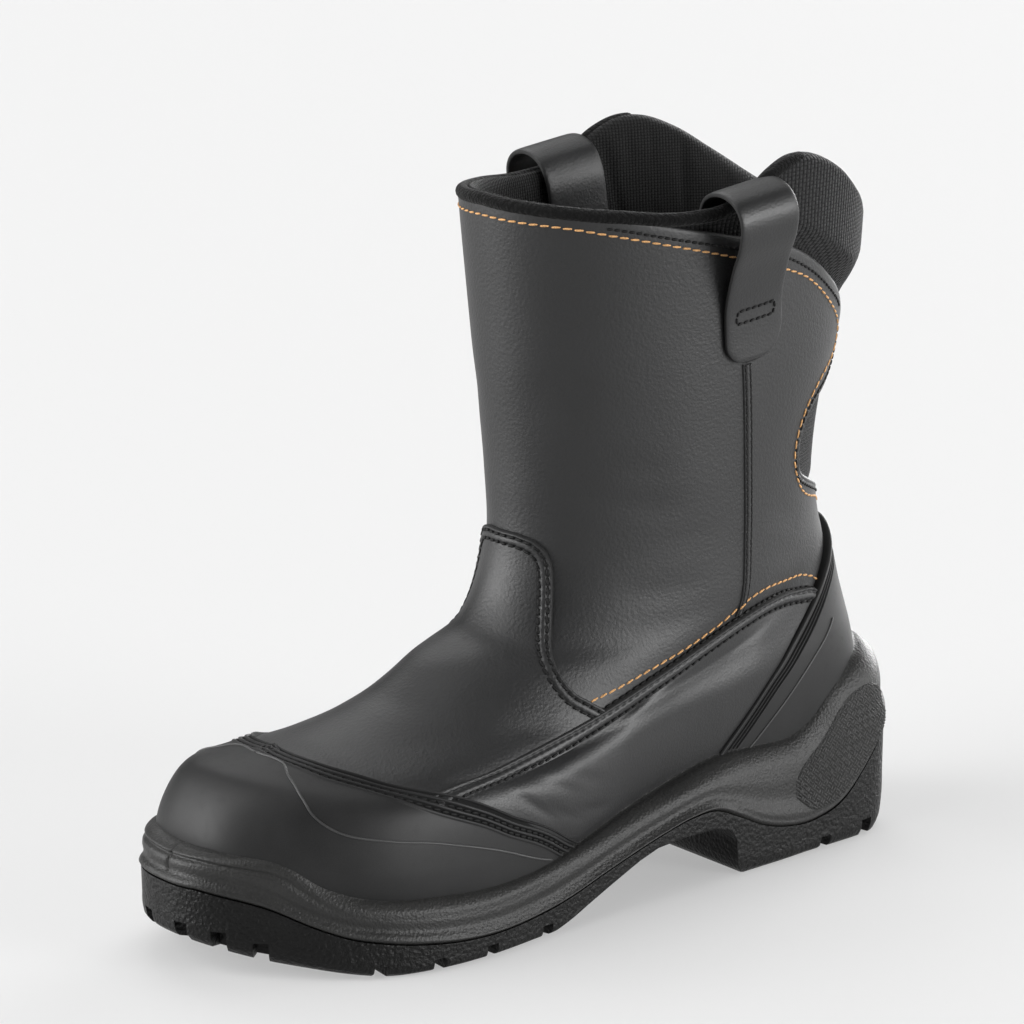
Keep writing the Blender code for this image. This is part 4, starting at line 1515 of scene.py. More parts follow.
@dataclass
class SideSeam:
    """The raised, double-sewn seam down one side of the shaft."""

    finishes: Finishes
    side: int
    half_width: float = 2.1
    height: float = 0.9
    sunk: float = 0.3
    edge_round: float = 0.7
    rows_sewn: float = 1.1
    row_width: float = 0.42
    pull: float = 0.5
    # How much painted shade lies in the sewn furrows
    row_painted_shade: float = 0.8

    def line(self, shift: float) -> Array:
        """Points on the upper beside the seam's middle.

        Args:
            shift: Distance from the middle.

        Returns:
            Points in the boot's own coordinates.
        """
        levels = np.linspace(SIDE_SEAM.rows[0][0], SIDE_SEAM.rows[-1][0], 160)
        degrees = self.side * SIDE_SEAM.at(levels, "degrees")
        middle = LAST.surface(degrees, levels)
        ahead = LAST.surface(degrees + 1, levels) - middle
        return middle + shift * ahead / np.linalg.norm(ahead, axis=1, keepdims=True)

    def shape(self, column: Array, row: Array) -> Array:
        """The strip's face: raised, with two sewn furrows.

        Args:
            column: Shares along the grid.
            row: Shares across it.

        Returns:
            Points in the boot's own coordinates, and how much painted shade darkens each one.
        """
        levels = SIDE_SEAM.rows[0][0] + (SIDE_SEAM.rows[-1][0] - SIDE_SEAM.rows[0][0]) * row
        middle = self.side * SIDE_SEAM.at(levels, "degrees")
        pace = LAST.surface(middle + 1, levels) - LAST.surface(middle, levels)
        shift = self.half_width * (1 - 2 * column)
        degrees = middle + shift / np.linalg.norm(pace, axis=1)
        away = self.half_width - np.abs(shift)
        furrow = bell(np.abs(shift) - self.rows_sewn, self.row_width)
        out = (self.height + self.sunk) * rounded(away, self.edge_round) - self.sunk - self.pull * furrow
        # Painted shade in the two sewn furrows
        return np.column_stack((LAST.offset(degrees, levels, out), self.row_painted_shade * furrow))

    def build(self) -> BVHTree:
        """Makes the strip.

        Returns:
            Its faces, for its thread to sit on.
        """
        word = SIDES[self.side]
        mesh = mapped_grid(28, 120, self.shape)
        mesh.normal_update()
        seat = BVHTree.FromBMesh(mesh)
        add_piece(f"side_seam_{word}_strip", mesh, [self.finishes.leather], [f"side_seam_{word}"], "leather")
        return seat


@dataclass
class Collar:
    """The padded collar: inside the leather, up over its edge in two lobes, and back down."""

    finishes: Finishes
    columns: int = 288
    outer_rows: int = 60
    crest_rows: int = 10
    inner_rows: int = 38
    foot_rows: int = 2
    leather: float = 2.0
    lining_gap: float = 0.8
    lining: float = 3.0
    lining_from: float = 0.55
    opening_end: float = 82.0
    shows: Pair = (3.0, 13.0)
    panel_swell: float = 1.2
    panel_heights: Pair = (200.0, 222.0)
    rim_round: float = 0.12
    pile_from: float = 134.0
    girth: float = 64.0
    air: float = 4.0
    most_swell: float = 1.4
    frames: int = 20
    roll_radius: float = 2.5
    roll_ends: Pair = (70.0, 290.0)
    roll_depth: float = 1.7
    roll_sunk: float = 0.8

    @property
    def rows(self) -> int:
        """Rows of faces round the section."""
        return self.outer_rows + self.crest_rows + self.inner_rows + self.foot_rows

    def swell(self, degrees: Array, level: Array) -> Array:
        """How far the padding stands from its hidden line, where no leather covers it.

        Args:
            degrees: Angles from the centre back.
            level: Levels from the sole.

        Returns:
            Distances outwards.
        """
        points = LAST.surface(degrees, level)
        leather_top = LAST.surface(degrees, edge_level(LEATHER_EDGE, degrees))[:, 2]
        opening = REAR_OPENING.at(points[:, 2], "half") - np.abs(points[:, 1])
        behind = (points[:, 0] < self.opening_end) & (points[:, 2] < REAR_OPENING.rows[-1][0])
        clear = np.maximum(points[:, 2] - leather_top, np.where(behind, opening, -1.0))
        lobe = smooth_step(*self.panel_heights, points[:, 2])
        most = self.panel_swell + COLLAR.at(folded(degrees), "swell") * lobe
        return smooth_step(*self.shows, clear) * most

    def shape(self, column: Array, row: Array) -> Array:
        """The section: up the outer face, round the crest, down the lining and back at the foot.

        Args:
            column: Shares along the grid.
            row: Shares across it.

        Returns:
            Points in the boot's own coordinates.
        """
        degrees = 360 * (1 - column)
        step = row * self.rows
        around = np.unique(degrees)
        skirt = COLLAR.at(folded(degrees), "skirt")
        padding = COLLAR.at(folded(degrees), "padding")
        rim = np.interp(degrees, around, LAST.level_at(around, COLLAR.at(folded(around), "rim")))
        shoulder = rim - self.rim_round
        crest = self.outer_rows + self.crest_rows
        rising = np.clip(step / self.outer_rows, 0, 1)
        turn = np.clip((step - self.outer_rows) / self.crest_rows, 0, 1)
        falling = np.clip((step - crest) / self.inner_rows, 0, 1)
        foot = np.clip((step - crest - self.inner_rows) / self.foot_rows, 0, 1)
        climb = np.where(step <= self.outer_rows + self.crest_rows / 2, rising, 1 - falling)
        level = skirt + (shoulder - skirt) * climb + self.rim_round * np.sin(np.pi * turn)
        outer = self.swell(degrees, np.minimum(level, shoulder))
        thin = smooth_step(skirt + 1.0, rim, np.minimum(level, shoulder))
        inner = -(self.lining + (padding - self.lining) * thin)
        across = (1 + np.cos(np.pi * turn)) / 2
        hidden = -(self.leather + self.lining_gap)
        out = hidden + outer * across + inner * (1 - across) * (1 - foot)
        return LAST.offset(degrees, level, out)

    def cloth(self, column: Array, points: Array) -> Array:
        """Places on a flat cloth: round the collar and up it."""
        return np.stack((2 * np.pi * column * self.girth, points[:, 2]), -1)

    def build(self) -> None:
        """Makes the collar, gives its faces their cloth and lets air fill its padding."""
        mesh = mapped_grid(self.columns, self.rows, self.shape, self.cloth)
        layer = mesh.loops.layers.uv[FORM_MAP]
        for face in mesh.faces:
            spot = np.mean([loop[layer].uv for loop in face.loops], axis=0)
            if spot[1] * self.rows > self.outer_rows + self.crest_rows * self.lining_from:
                face.material_index = 1
            elif folded(360 * (1 - spot[0])) > self.pile_from:
                face.material_index = 2
        face_outwards(mesh)
        cloths = [self.finishes.weave, self.finishes.lining, self.finishes.pile]
        collar = add_piece("padded_collar", mesh, cloths, ["collar"], "textile")
        self.fill(collar)

    def fill(self, collar: bpy.types.Object) -> None:
        """Lets air press the padding out as cloth, held fast where leather or foot covers it.

        Args:
            collar: The collar, whose points are moved by a little at most.
        """
        group = collar.vertex_groups.new(name="held")
        before = np.array([vert.co for vert in collar.data.vertices])
        free = smooth_step(*(height * MM for height in self.panel_heights), before[:, 2])
        for index, part in enumerate(free):
            group.add([index], 1 - part, "REPLACE")
        cloth = collar.modifiers.new("air", "CLOTH")
        cloth.settings.use_pressure = True
        cloth.settings.uniform_pressure_force = self.air
        cloth.settings.vertex_group_mass = group.name
        cloth.settings.effector_weights.gravity = 0.0
        cloth.point_cache.frame_end = self.frames
        for frame_number in range(1, self.frames + 1):
            bpy.context.scene.frame_set(frame_number)
        graph = bpy.context.evaluated_depsgraph_get()
        moved = np.array([vert.co for vert in collar.evaluated_get(graph).data.vertices]) - before
        size = np.linalg.norm(moved, axis=1, keepdims=True)
        moved = moved * np.minimum(1, self.most_swell * MM / np.maximum(size, 1e-9)) * free[:, None]
        collar.modifiers.clear()
        collar.vertex_groups.clear()
        bpy.context.scene.frame_set(1)
        collar.data.vertices.foreach_set("co", (before + moved).ravel())
        collar.data.update()
        LOG.info("padding moved by up to %.2f mm", np.linalg.norm(moved, axis=1).max() / MM)

    def roll(self) -> None:
        """Makes the pile-covered roll over the leather's edge, round the front."""
        degrees = np.linspace(*self.roll_ends, 260)
        height = COLLAR.at(folded(degrees), "rim") - self.roll_radius * self.roll_sunk
        level = LAST.level_at(degrees, height)
        path = LAST.offset(degrees, level, -self.roll_depth)
        mesh = sweep(path, self.roll_radius, 16, (0.0, 0.0, 1.0))
        roll = add_piece("collar_roll", mesh, [self.finishes.pile], slot="textile")


@dataclass
class PullLoop:
    """A leather strap up the shaft's side, folded over the collar and sewn inside it."""

    finishes: Finishes
    side: int
    foot: Pair
    width: float = 26.0
    thickness: float = 2.2
    lean: float = 7.0
    front_round: float = 9.0
    rear_round: float = 13.0
    length: float = 132.0
    steps: int = 110
    around: int = 40
    squareness: Pair = (0.22, 0.55)
    cut_edge: float = 0.93
    hug: float = 0.0035
    hug_end: Pair = (2.6, 1.4)
    box: tuple[float, float, float, float] = (-8.8, 8.6, 15.6, 20.2)

    def point(self, step: Array, across: Array, lift: Array) -> Array:
        """Places on the strap.

        Args:
            step: Steps along its path.
            across: Distances from its middle line, towards the heel.
            lift: Distances from its middle layer, outwards.

        Returns:
            Points in the boot's own coordinates.
        """
        lean = math.radians(self.lean)
        rise = LOOP_PATH.at(step, "rise")
        out = LOOP_PATH.at(step, "out")
        along = self.foot[0] + math.sin(lean) * rise - math.cos(lean) * across
        height = self.foot[1] + math.cos(lean) * rise + math.sin(lean) * across
        steps, index = np.unique(np.round(step, 5), return_inverse=True)
        spine_rise = LOOP_PATH.at(steps, "rise")
        spine = LAST.wall_across(
            self.foot[0] + math.sin(lean) * spine_rise, self.foot[1] + math.cos(lean) * spine_rise, self.side
        )[index]
        small = 0.02
        run = LOOP_PATH.at(step + small, "rise") - LOOP_PATH.at(step - small, "rise")
        leave = LOOP_PATH.at(step + small, "out") - LOOP_PATH.at(step - small, "out")
        size = np.hypot(run, leave) + 1e-9
        hug = self.hug * across**2 * smooth_step(*self.hug_end, step)
        reach = out + self.thickness / 2 + lift * run / size - hug
        climb = -lift * leave / size
        along = along + math.sin(lean) * climb
        height = height + math.cos(lean) * climb
        return np.stack((along, spine + self.side * reach, height), -1)

    def shape(self, column: Array, row: Array) -> Array:
        """The strap's section, a flat band with rounded edges, swept along its path.

        Args:
            column: Shares along the grid.
            row: Shares across it.

        Returns:
            Points in the boot's own coordinates.
        """
        step = column * LOOP_PATH.rows[-1][0]
        turn = row * 2 * np.pi
        flat = blunted(np.cos(turn), self.squareness[0])
        lift = blunted(np.sin(turn), self.squareness[1]) * self.thickness / 2
        corner = np.where(flat > 0, self.rear_round, self.front_round)
        half = self.width / 2 - corner * (1 - rounded(column * self.length, corner))
        closed = (column < 0.001) | (column > 0.999)
        return self.point(step, half * flat, np.where(closed, 0.0, lift))

    def box_line(self) -> Array:
        """The stitched box near the strap's lower end.

        Returns:
            Points in the boot's own coordinates.
        """
        back, front, low, high = self.box
        corners = ((back, low), (front, low), (front, high), (back, high), (back, low))
        rises = LOOP_PATH.column("rise")[:4]
        steps = LOOP_PATH.column("step")[:4]
        spots = evenly(np.array([(across, rise, 0.0) for across, rise in corners]), 0.5)
        lift = np.full(len(spots), self.thickness / 2)
        return self.point(np.interp(spots[:, 1], rises, steps), spots[:, 0], lift)

    def build(self) -> BVHTree:
        """Makes the strap, with its cut edges in a darker finish.

        Returns:
            Its faces, for its thread to sit on.
        """
        word = SIDES[self.side]
        mesh = mapped_grid(self.steps, self.around, self.shape)
        layer = mesh.loops.layers.uv[FORM_MAP]
        for face in mesh.faces:
            turn = np.mean([loop[layer].uv[1] for loop in face.loops]) * 2 * np.pi
            face.material_index = int(abs(math.cos(turn)) > self.cut_edge)
        face_outwards(mesh)
        seat = BVHTree.FromBMesh(mesh)
        leather = [self.finishes.smooth_leather, self.finishes.raw_edge]
        add_piece(f"pull_loop_{word}_strap", mesh, leather, [f"pull_loop_{word}"], "smooth_leather")
        return seat


# Sole


@dataclass(frozen=True)
class SoleForm:
    """Plan and side lines that midsole and outsole share."""

    blunt: float = 0.72
    overhang: float = 3.0
    lip_thickness: float = 2.6

    def outline(self, degrees: Array, inset: Array | float = 0.0) -> tuple[Array, Array]:
        """Plan of the sole at angles from the centre back, as along and across.

        Args:
            degrees: Angles from the centre back.
            inset: Distances inwards from the sole's edge.

        Returns:
            Distances along and across.
        """
        share = (1 - np.cos(np.radians(degrees))) / 2
        side = np.sin(np.radians(degrees))
        width = np.where(side >= 0, SOLE_PLAN.at(share, "outer"), SOLE_PLAN.at(share, "inner"))
        shift = SOLE_PLAN.at(share, "shift") * LAST.ball_width
        reach = width * LAST.ball_width - inset
        start = inset - self.overhang
        along = start + (LAST.length - 2 * start) * share
        return along, shift + blunted(side, self.blunt) * reach

    def height(self, along: Array, name: str) -> Array:
        """Height of one of the lines along the sole's side."""
        return np.maximum(SOLE_SIDE.at(along / LAST.length, name), 0) * LAST.heel_height

    def side(self, degrees: Array, rise: Array, out: Array | float = 0.0) -> Array:
        """The midsole's side between parting line and lip.

        Args:
            degrees: Angles from the centre back.
            rise: Shares of the side's height.
            out: Distances outwards from the plain side.

        Returns:
            Points in the boot's own coordinates.
        """
        along, across = self.outline(degrees)
        foot = np.stack((along, across, self.height(along, "parting")), -1)
        rim = LAST.offset(degrees, edge_level(LIP, degrees), self.lip_thickness)
        inner_along, inner_across = self.outline(degrees, 1.0)
        outward = unit(foot - np.stack((inner_along, inner_across, foot[:, 2]), -1))
        inward = 1 - np.sqrt(np.clip(1 - rise**2, 0, 1))
        reach = MIDSOLE_SIDE.at(rise, "out") + out
        return foot + (rim - foot) * np.stack((inward, inward, rise), -1) + outward * reach[:, None]


SOLE = SoleForm()


@dataclass(frozen=True)
class Ridge:
    """A soft ridge, or a groove where its height is negative, that fades in round the sole."""

    height: float
    width: float
    fade: Pair
    shift: float = 0.0

    def out(self, distance: Array, degrees: Array) -> Array:
        """How far it stands out at distances from its line."""
        return self.height * bell(distance - self.shift, self.width) * smooth_step(*self.fade, degrees)


@dataclass
class Midsole:
    """The moulded midsole: a cup with a rolled lip, a bumper at the toe and a ridge at its foot."""

    finishes: Finishes
    columns: int = 480
    rows: int = 84
    split: float = 179.25
    split_pace: float = 2.6
    split_depth: float = 0.9
    split_width: float = 0.5
    split_from: Pair = (0.28, 0.36)
    drawn: float = 6.0
    least_height: float = 4.0
    side_end: float = 0.72
    lip_end: float = 0.84
    lip_bead: float = 1.0
    inner_gap: float = 0.3
    bumper_cut: Ridge = Ridge(-0.95, 0.75, (137, 146))
    bumper_roll: Ridge = Ridge(0.7, 2.6, (138, 150), 3.2)
    roll_cut: Ridge = Ridge(-0.25, 1.8, (60, 72))
    roll_end: Pair = (136, 126)
    foot_ridge: Ridge = Ridge(0.55, 0.55, (128, 110), 1.3)
    foot_cut: Ridge = Ridge(-0.25, 1.0, (128, 110), 3.0)
    bumper_groove: Table = Table(
        "degrees rise",
        ((136, 0.60), (140, 0.69), (144, 0.80), (148, 0.85), (157, 0.78), (168, 0.77), (180, 0.76)),
    )
    roll_groove: Table = Table(
        "degrees rise",
        ((60, 0.80), (73, 0.83), (87, 0.84), (99, 0.76), (111, 0.65), (122, 0.64), (134, 0.62)),
    )

    def detail(self, degrees: Array, rise: Array) -> Array:
        """Grooves, ridge and mould split on the side.

        Args:
            degrees: Angles from the centre back.
            rise: Shares of the side's height.

        Returns:
            Distances outwards from the plain side.
        """
        turned = folded(degrees)
        low, high = (SOLE.side(degrees, np.full_like(rise, share))[:, 2] for share in (0.0, 1.0))
        tall = np.maximum(high - low, self.least_height)
        bumper = (rise - self.bumper_groove.at(turned, "rise")) * tall
        roll = (rise - self.roll_groove.at(turned, "rise")) * tall
        out = self.bumper_cut.out(bumper, turned) + self.bumper_roll.out(bumper, turned)
        out = out + self.roll_cut.out(roll, turned) * smooth_step(*self.roll_end, turned)
        out = out + self.foot_ridge.out(rise * tall, turned) + self.foot_cut.out(rise * tall, turned)
        split = bell((degrees - self.split) * self.split_pace, self.split_width)
        return out - self.split_depth * split * smooth_step(*self.split_from, rise)

    def shape(self, column: Array, row: Array) -> Array:
        """The section: from under the parting line up the side, over the lip and down inside.

        Args:
            column: Shares along the grid.
            row: Shares across it.

        Returns:
            Points in the boot's own coordinates.
        """
        degrees = 360 * (1 - column)
        near = degrees - self.split
        degrees = np.where(np.abs(near) < self.drawn, self.split + near * np.abs(near) / self.drawn, degrees)
        rise = np.clip(row / self.side_end, 0, 1)
        over = np.clip((row - self.side_end) / (self.lip_end - self.side_end), 0, 1)
        inside = np.clip((row - self.lip_end) / (1 - self.lip_end), 0, 1)
        side = SOLE.side(degrees, rise, self.detail(degrees, rise))
        lip = edge_level(LIP, degrees)
        out = SOLE.lip_thickness * (1 - over) + self.inner_gap * over
        wall = LAST.offset(degrees, lip * (1 - inside), out)
        wall[:, 2] += self.lip_bead * np.sin(np.pi * over)
        return np.where((row > self.side_end)[:, None], wall, side)

    def build(self) -> None:
        """Makes the midsole and closes it below and inside."""
        mesh = mapped_grid(self.columns, self.rows, self.shape)
        for edges in self.open_rings(mesh):
            close_ring(mesh, edges)
        face_outwards(mesh)
        add_piece("moulded_midsole", mesh, [self.finishes.midsole], ["midsole"], "midsole_foam")

    def open_rings(self, mesh: Mesh) -> Iterator[list[bmesh.types.BMVert]]:
        """The two open rings of the cup, each from the heel round the outer side.

        Args:
            mesh: The cup.

        Yields:
            The rings' points in order.
        """
        left = {vert for vert in mesh.verts if vert.is_boundary}
        while left:
            start = max(left, key=lambda vert: vert.co.x)
            ring = [start]
            left.discard(start)
            while True:
                beside = [edge.other_vert(ring[-1]) for edge in ring[-1].link_edges if edge.is_boundary]
                ahead = [vert for vert in beside if vert in left]
                if not ahead:
                    break
                ring.append(ahead[0])
                left.discard(ahead[0])
            yield ring


@dataclass
class HeelPatch:
    """The woven-patterned patch moulded on the side of the heel."""

    finishes: Finishes
    side: int
    limits: Table = Table(
        "degrees low high",
        (
            (19.5, 0.22, 0.34), (22.0, 0.12, 0.56), (26.0, 0.08, 0.76), (31.0, 0.07, 0.87),
            (38.0, 0.07, 0.90), (44.0, 0.09, 0.84), (49.0, 0.16, 0.72), (52.0, 0.34, 0.56),
        ),
    )
    grid: tuple[int, int] = (300, 230)
    cell: float = 2.2
    slope: Pair = (0.75, 0.66)
    bars: int = 2
    depth: float = 0.7
    bar_end: float = 0.18
    tall: float = 42.0
    wide: float = 52.0
    margin: Pair = (0.2, 1.6)
    sunk: float = 0.6

    def shape(self, column: Array, row: Array) -> Array:
        """Short raised bars that cross each other in turn, standing out of the midsole's face.

        Args:
            column: Shares along the grid.
            row: Shares across it.

        Returns:
            Points in the boot's own coordinates, and how much painted shade darkens each one.
        """
        last, first = self.limits.rows[-1][0], self.limits.rows[0][0]
        degrees = last - (last - first) * column
        low = self.limits.at(degrees, "low")
        high = self.limits.at(degrees, "high")
        rise = low + (high - low) * row
        flat = SOLE.side(degrees, rise)
        run, climb = self.slope
        across = (flat[:, 0] * run + flat[:, 2] * climb) / self.cell
        up = (flat[:, 2] * run - flat[:, 0] * climb) / self.cell
        parity = (np.floor(across) + np.floor(up)) % 2
        bars = np.abs(np.sin(np.pi * self.bars * np.where(parity > 0, across, up)))
        ends = rounded(0.5 - np.abs(np.where(parity > 0, up, across) % 1 - 0.5), self.bar_end)
        tall = (high - low) * self.tall
        rim = np.minimum(np.minimum(row, 1 - row) * tall, np.minimum(column, 1 - column) * self.wide)
        inside = smooth_step(*self.margin, rim)
        raised = bars**0.6 * ends
        out = (self.depth * raised + 0.2) * inside - self.sunk * smooth_step(self.sunk, 0.0, rim)
        turned = degrees if self.side > 0 else 360 - degrees
        # Painted shade in the hollows between the raised bars
        return np.column_stack((SOLE.side(turned, rise, out - 0.1), 0.85 * (1 - raised) * inside))

    def build(self) -> None:
        """Makes the patch on one side of the heel."""
        word = SIDES[self.side]
        mesh = mapped_grid(*self.grid, self.shape)
        if self.side < 0:
            bmesh.ops.reverse_faces(mesh, faces=mesh.faces)
        add_piece(f"heel_patch_{word}", mesh, [self.finishes.midsole], slot="midsole_foam")


@dataclass
class Outsole:
    """The rubber outsole: its side, the hollow of the shank and the cuts between its lugs."""

    finishes: Finishes
    columns: int = 220
    side_rows: int = 18
    tread_rows: int = 16
    gap: float = 0.1
    tread_depth: float = 4.5
    groove_width: float = 5.0
    notch_width: float = 5.5
    notch_reach: float = 13.0
    notch_depth: float = 6.0
    channel_width: float = 7.0
    channel_ends: Pair = (196.0, 240.0)
    margin: float = 12.0
    soft_width: float = 0.7
    soft_angle: float = 40.0
    sharp_angle: float = 50.0
    side_profile: Table = Table("drop inset", ((0.0, 0.0), (0.45, 0.2), (0.8, 0.5), (0.92, 1.2), (1.0, 2.8)))
    arch: Table = Table(
        "along height",
        (
            (79.0, -12.0), (80.5, -0.3), (83.2, 0.6), (85.2, 2.6), (86.2, 6.0), (86.6, 14.0), (89.5, 18.5),
            (97.0, 20.5), (112.0, 20.5), (125.0, 19.6), (134.0, 17.0), (150.0, 10.8), (165.0, 4.8),
            (178.0, 0.0), (184.0, -12.0),
        ),
    )
    grooves: Table = Table(
        "along lean",
        ((44.0, 6.0), (187.0, 8.0), (211.0, 4.0), (226.0, -4.0), (244.0, -8.0)),
    )
    notches: tuple[float, ...] = (30.0, 330.0, 152.0, 162.0, 174.5, 185.5, 198.0, 208.0)

    def shape(self, column: Array, row: Array) -> Array:
        """The section across the sole: down one side, over the tread, up the other and back.

        Args:
            column: Shares along the grid.
            row: Shares across it.

        Returns:
            Points in the boot's own coordinates.
        """
        degrees = 180 * column
        total = 2 * self.side_rows + 2 * self.tread_rows
        step = row * total
        second = self.side_rows + self.tread_rows
        drop = np.clip(step / self.side_rows, 0, 1) - np.clip((step - second) / self.side_rows, 0, 1)
        over = np.clip((step - self.side_rows) / self.tread_rows, 0, 1)
        back = np.clip((step - second - self.side_rows) / self.tread_rows, 0, 1)
        inset = self.side_profile.at(drop, "inset")
        along, outer = SOLE.outline(degrees, inset)
        _, inner = SOLE.outline(360 - degrees, inset)
        inner = np.where(np.isin(column, (0.0, 1.0)), outer, inner)
        across = outer + (inner - outer) * (over - back)
        top = SOLE.height(along, "parting") - self.gap
        tread = SOLE.height(along, "tread")
        return np.stack((along, across, top + (tread - top) * drop), -1)

    def bar(
        self,
        mesh: Mesh,
        spot: Pair,
        top: float,
        size: Pair,
        lean: float,
    ) -> None:
        """Adds an upright bar to a cutter.

        Args:
            mesh: The cutter.
            spot: The bar's place, along and across.
            top: Height of its top.
            size: Its length along and across.
            lean: Its turn in degrees.
        """
        centre = place(np.array((spot[0], spot[1], (top - self.margin) / 2)))
        turned = Matrix.Translation(centre) @ Matrix.Rotation(math.radians(lean), 4, "Z")
        scale = Matrix.Diagonal((size[0] * MM, size[1] * MM, (top + self.margin) * MM, 1))
        bmesh.ops.create_cube(mesh, size=1.0, matrix=turned @ scale)

    def build(self) -> None:
        """Makes the outsole, cuts its tread and softens its edges."""
        total = 2 * self.side_rows + 2 * self.tread_rows
        mesh = mapped_grid(self.columns, total, self.shape)
        face_outwards(mesh)
        piece = add_piece("lugged_outsole", mesh, [self.finishes.outsole], ["outsole"], "outsole_rubber")
        wide = LAST.ball_width
        hollow = [(along, wide, height) for along, height in self.arch.rows]
        cut_away(piece, prism(hollow, (0, -2 * wide, 0)))
        bars = bmesh.new()
        for along, lean in self.grooves.rows:
            top = self.tread_depth + float(SOLE.height(np.array(along), "tread"))
            self.bar(bars, (along, 0), top, (self.groove_width, 2 * wide), lean)
        cut_away(piece, bars)
        bars = bmesh.new()
        for angle in self.notches:
            along, across = SOLE.outline(np.array(angle))
            ahead, beside = SOLE.outline(np.array(angle + 1.0))
            turn = math.degrees(math.atan2(beside - across, ahead - along))
            top = self.notch_depth + float(SOLE.height(along, "tread"))
            self.bar(bars, (float(along), float(across)), top, (self.notch_width, 2 * self.notch_reach), turn)
        cut_away(piece, bars)
        bars = bmesh.new()
        start, end = self.channel_ends
        self.bar(bars, ((start + end) / 2, 0), self.tread_depth, (end - start, self.channel_width), 0)
        cut_away(piece, bars)
        soft = piece.modifiers.new("soft_edges", "BEVEL")
        soft.width = self.soft_width * MM
        soft.segments = 2
        soft.limit_method = "ANGLE"
        soft.angle_limit = math.radians(self.soft_angle)
        apply_modifiers(piece)
        piece.data.shade_smooth()
        piece.data.set_sharp_from_angle(angle=math.radians(self.sharp_angle))


@dataclass
class Insole:
    """The felt-covered bed inside the boot."""

    finishes: Finishes
    wall: float = 2.6
    thickness: float = 4.0
    gap: float = 0.2
    top_end: float = 0.6
    under_from: float = 0.65

    def shape(self, column: Array, row: Array) -> Array:
        """The section across the bed: over its slightly cupped top and back under it.

        Args:
            column: Shares along the grid.
            row: Shares across it.

        Returns:
            Points in the boot's own coordinates.
        """
        degrees = 180 * column
        zero = np.zeros(column.shape)
        outer = LAST.offset(degrees, zero, -self.wall)
        inner = LAST.offset(360 - degrees, zero, -self.wall)
        over = np.clip(row / self.top_end, 0, 1)
        under = np.clip((row - self.under_from) / (1 - self.under_from), 0, 1)
        across = outer[:, 1] + (inner[:, 1] - outer[:, 1]) * (over - under)
        low = LAST.bed_height(outer[:, 0])
        lift = np.where(row >= self.under_from, self.gap, self.thickness / 2)
        lift = np.where(row <= self.top_end, self.thickness, lift)
        return np.stack((outer[:, 0], across, low + lift), -1)

    def build(self) -> None:
        """Makes the insole."""
        mesh = mapped_grid(120, 40, self.shape)
        face_outwards(mesh)
        add_piece("felt_insole", mesh, [self.finishes.felt], ["insole"], "insole_felt")


# Thread


class Pitch(float, Enum):
    """Distances between the stitches of seams that lie on no panel's edge."""

    SIDE_SEAM = 3.2
    SHORT = 2.7
    TAN = 4.0


@dataclass(frozen=True)
class Seam:
    """One row of stitches: its line, what it sits on and how far apart its stitches are."""

    points: Array
    seat: BVHTree
    pitch: float
    over: tuple[BVHTree, ...] = ()


@dataclass
class Sewing:
    """Rows of stitches in one thread."""

    finish: Material
    name: str
    slot: str
    length: float = 0.84
    width: float = 1.1
    height: float = 0.8
    slant: float = 7.0
    clear: float = 3.0
    blunt: float = 0.55

    def build(self, seams: Sequence[Seam]) -> None:
        """Sets a rounded stitch at each step of every seam.

        Args:
            seams: The rows to sew.
        """
        mesh = bmesh.new()
        for seam in seams:
            row = bmesh.new()
            spots = place(evenly(seam.points, seam.pitch))
            for start, end in zip(spots[:-1], spots[1:]):
                self.stitch(row, Vector(start), Vector(end), seam)
            data = bpy.data.meshes.new("row")
            row.to_mesh(data)
            row.free()
            mesh.from_mesh(data)
            bpy.data.meshes.remove(data)
        add_piece(self.name, mesh, [self.finish], slot=self.slot)

    def stitch(self, mesh: Mesh, start: Vector, end: Vector, seam: Seam) -> None:
        """Adds one stitch with blunt ends, seated on the face below it.

        Args:
            mesh: The mesh that takes it.
            start: Where the thread comes up.
            end: Where it goes down.
            seam: Its row, with the faces that it lies on and those that may cover them.
        """
        spot, normal, _, _ = seam.seat.find_nearest((start + end) / 2)
        for cover in seam.over:
            hit, _, _, _ = cover.ray_cast(spot + normal * self.clear * MM, -normal, self.clear * MM)
            spot = hit or spot
        side = normal.cross(end - start).normalized()
        ahead = side.cross(normal)
        axes = Matrix((ahead, side, normal)).transposed().to_4x4()
        turn = Matrix.Rotation(math.radians(self.slant), 4, "Z")
        reach = (end - start).length * self.length / 2
        size = Matrix.Diagonal((reach, self.width * MM / 2, self.height * MM / 2, 1))
        lifted = Matrix.Translation(spot + normal * self.height * MM * 0.15)
        verts = bmesh.ops.create_uvsphere(mesh, u_segments=8, v_segments=5, radius=1.0)["verts"]
        for vert in verts:
            vert.co.x = math.copysign(abs(vert.co.x) ** self.blunt, vert.co.x)
        bmesh.ops.transform(mesh, matrix=lifted @ axes @ turn @ size, verts=verts)


# Studio


def towards(azimuth: float, elevation: float) -> Vector:
    """A direction from the boot, turned from its outer side towards the heel, and tilted up."""
    turn, tilt = math.radians(azimuth), math.radians(elevation)
    return Vector((math.sin(turn) * math.cos(tilt), -math.cos(turn) * math.cos(tilt), math.sin(tilt)))


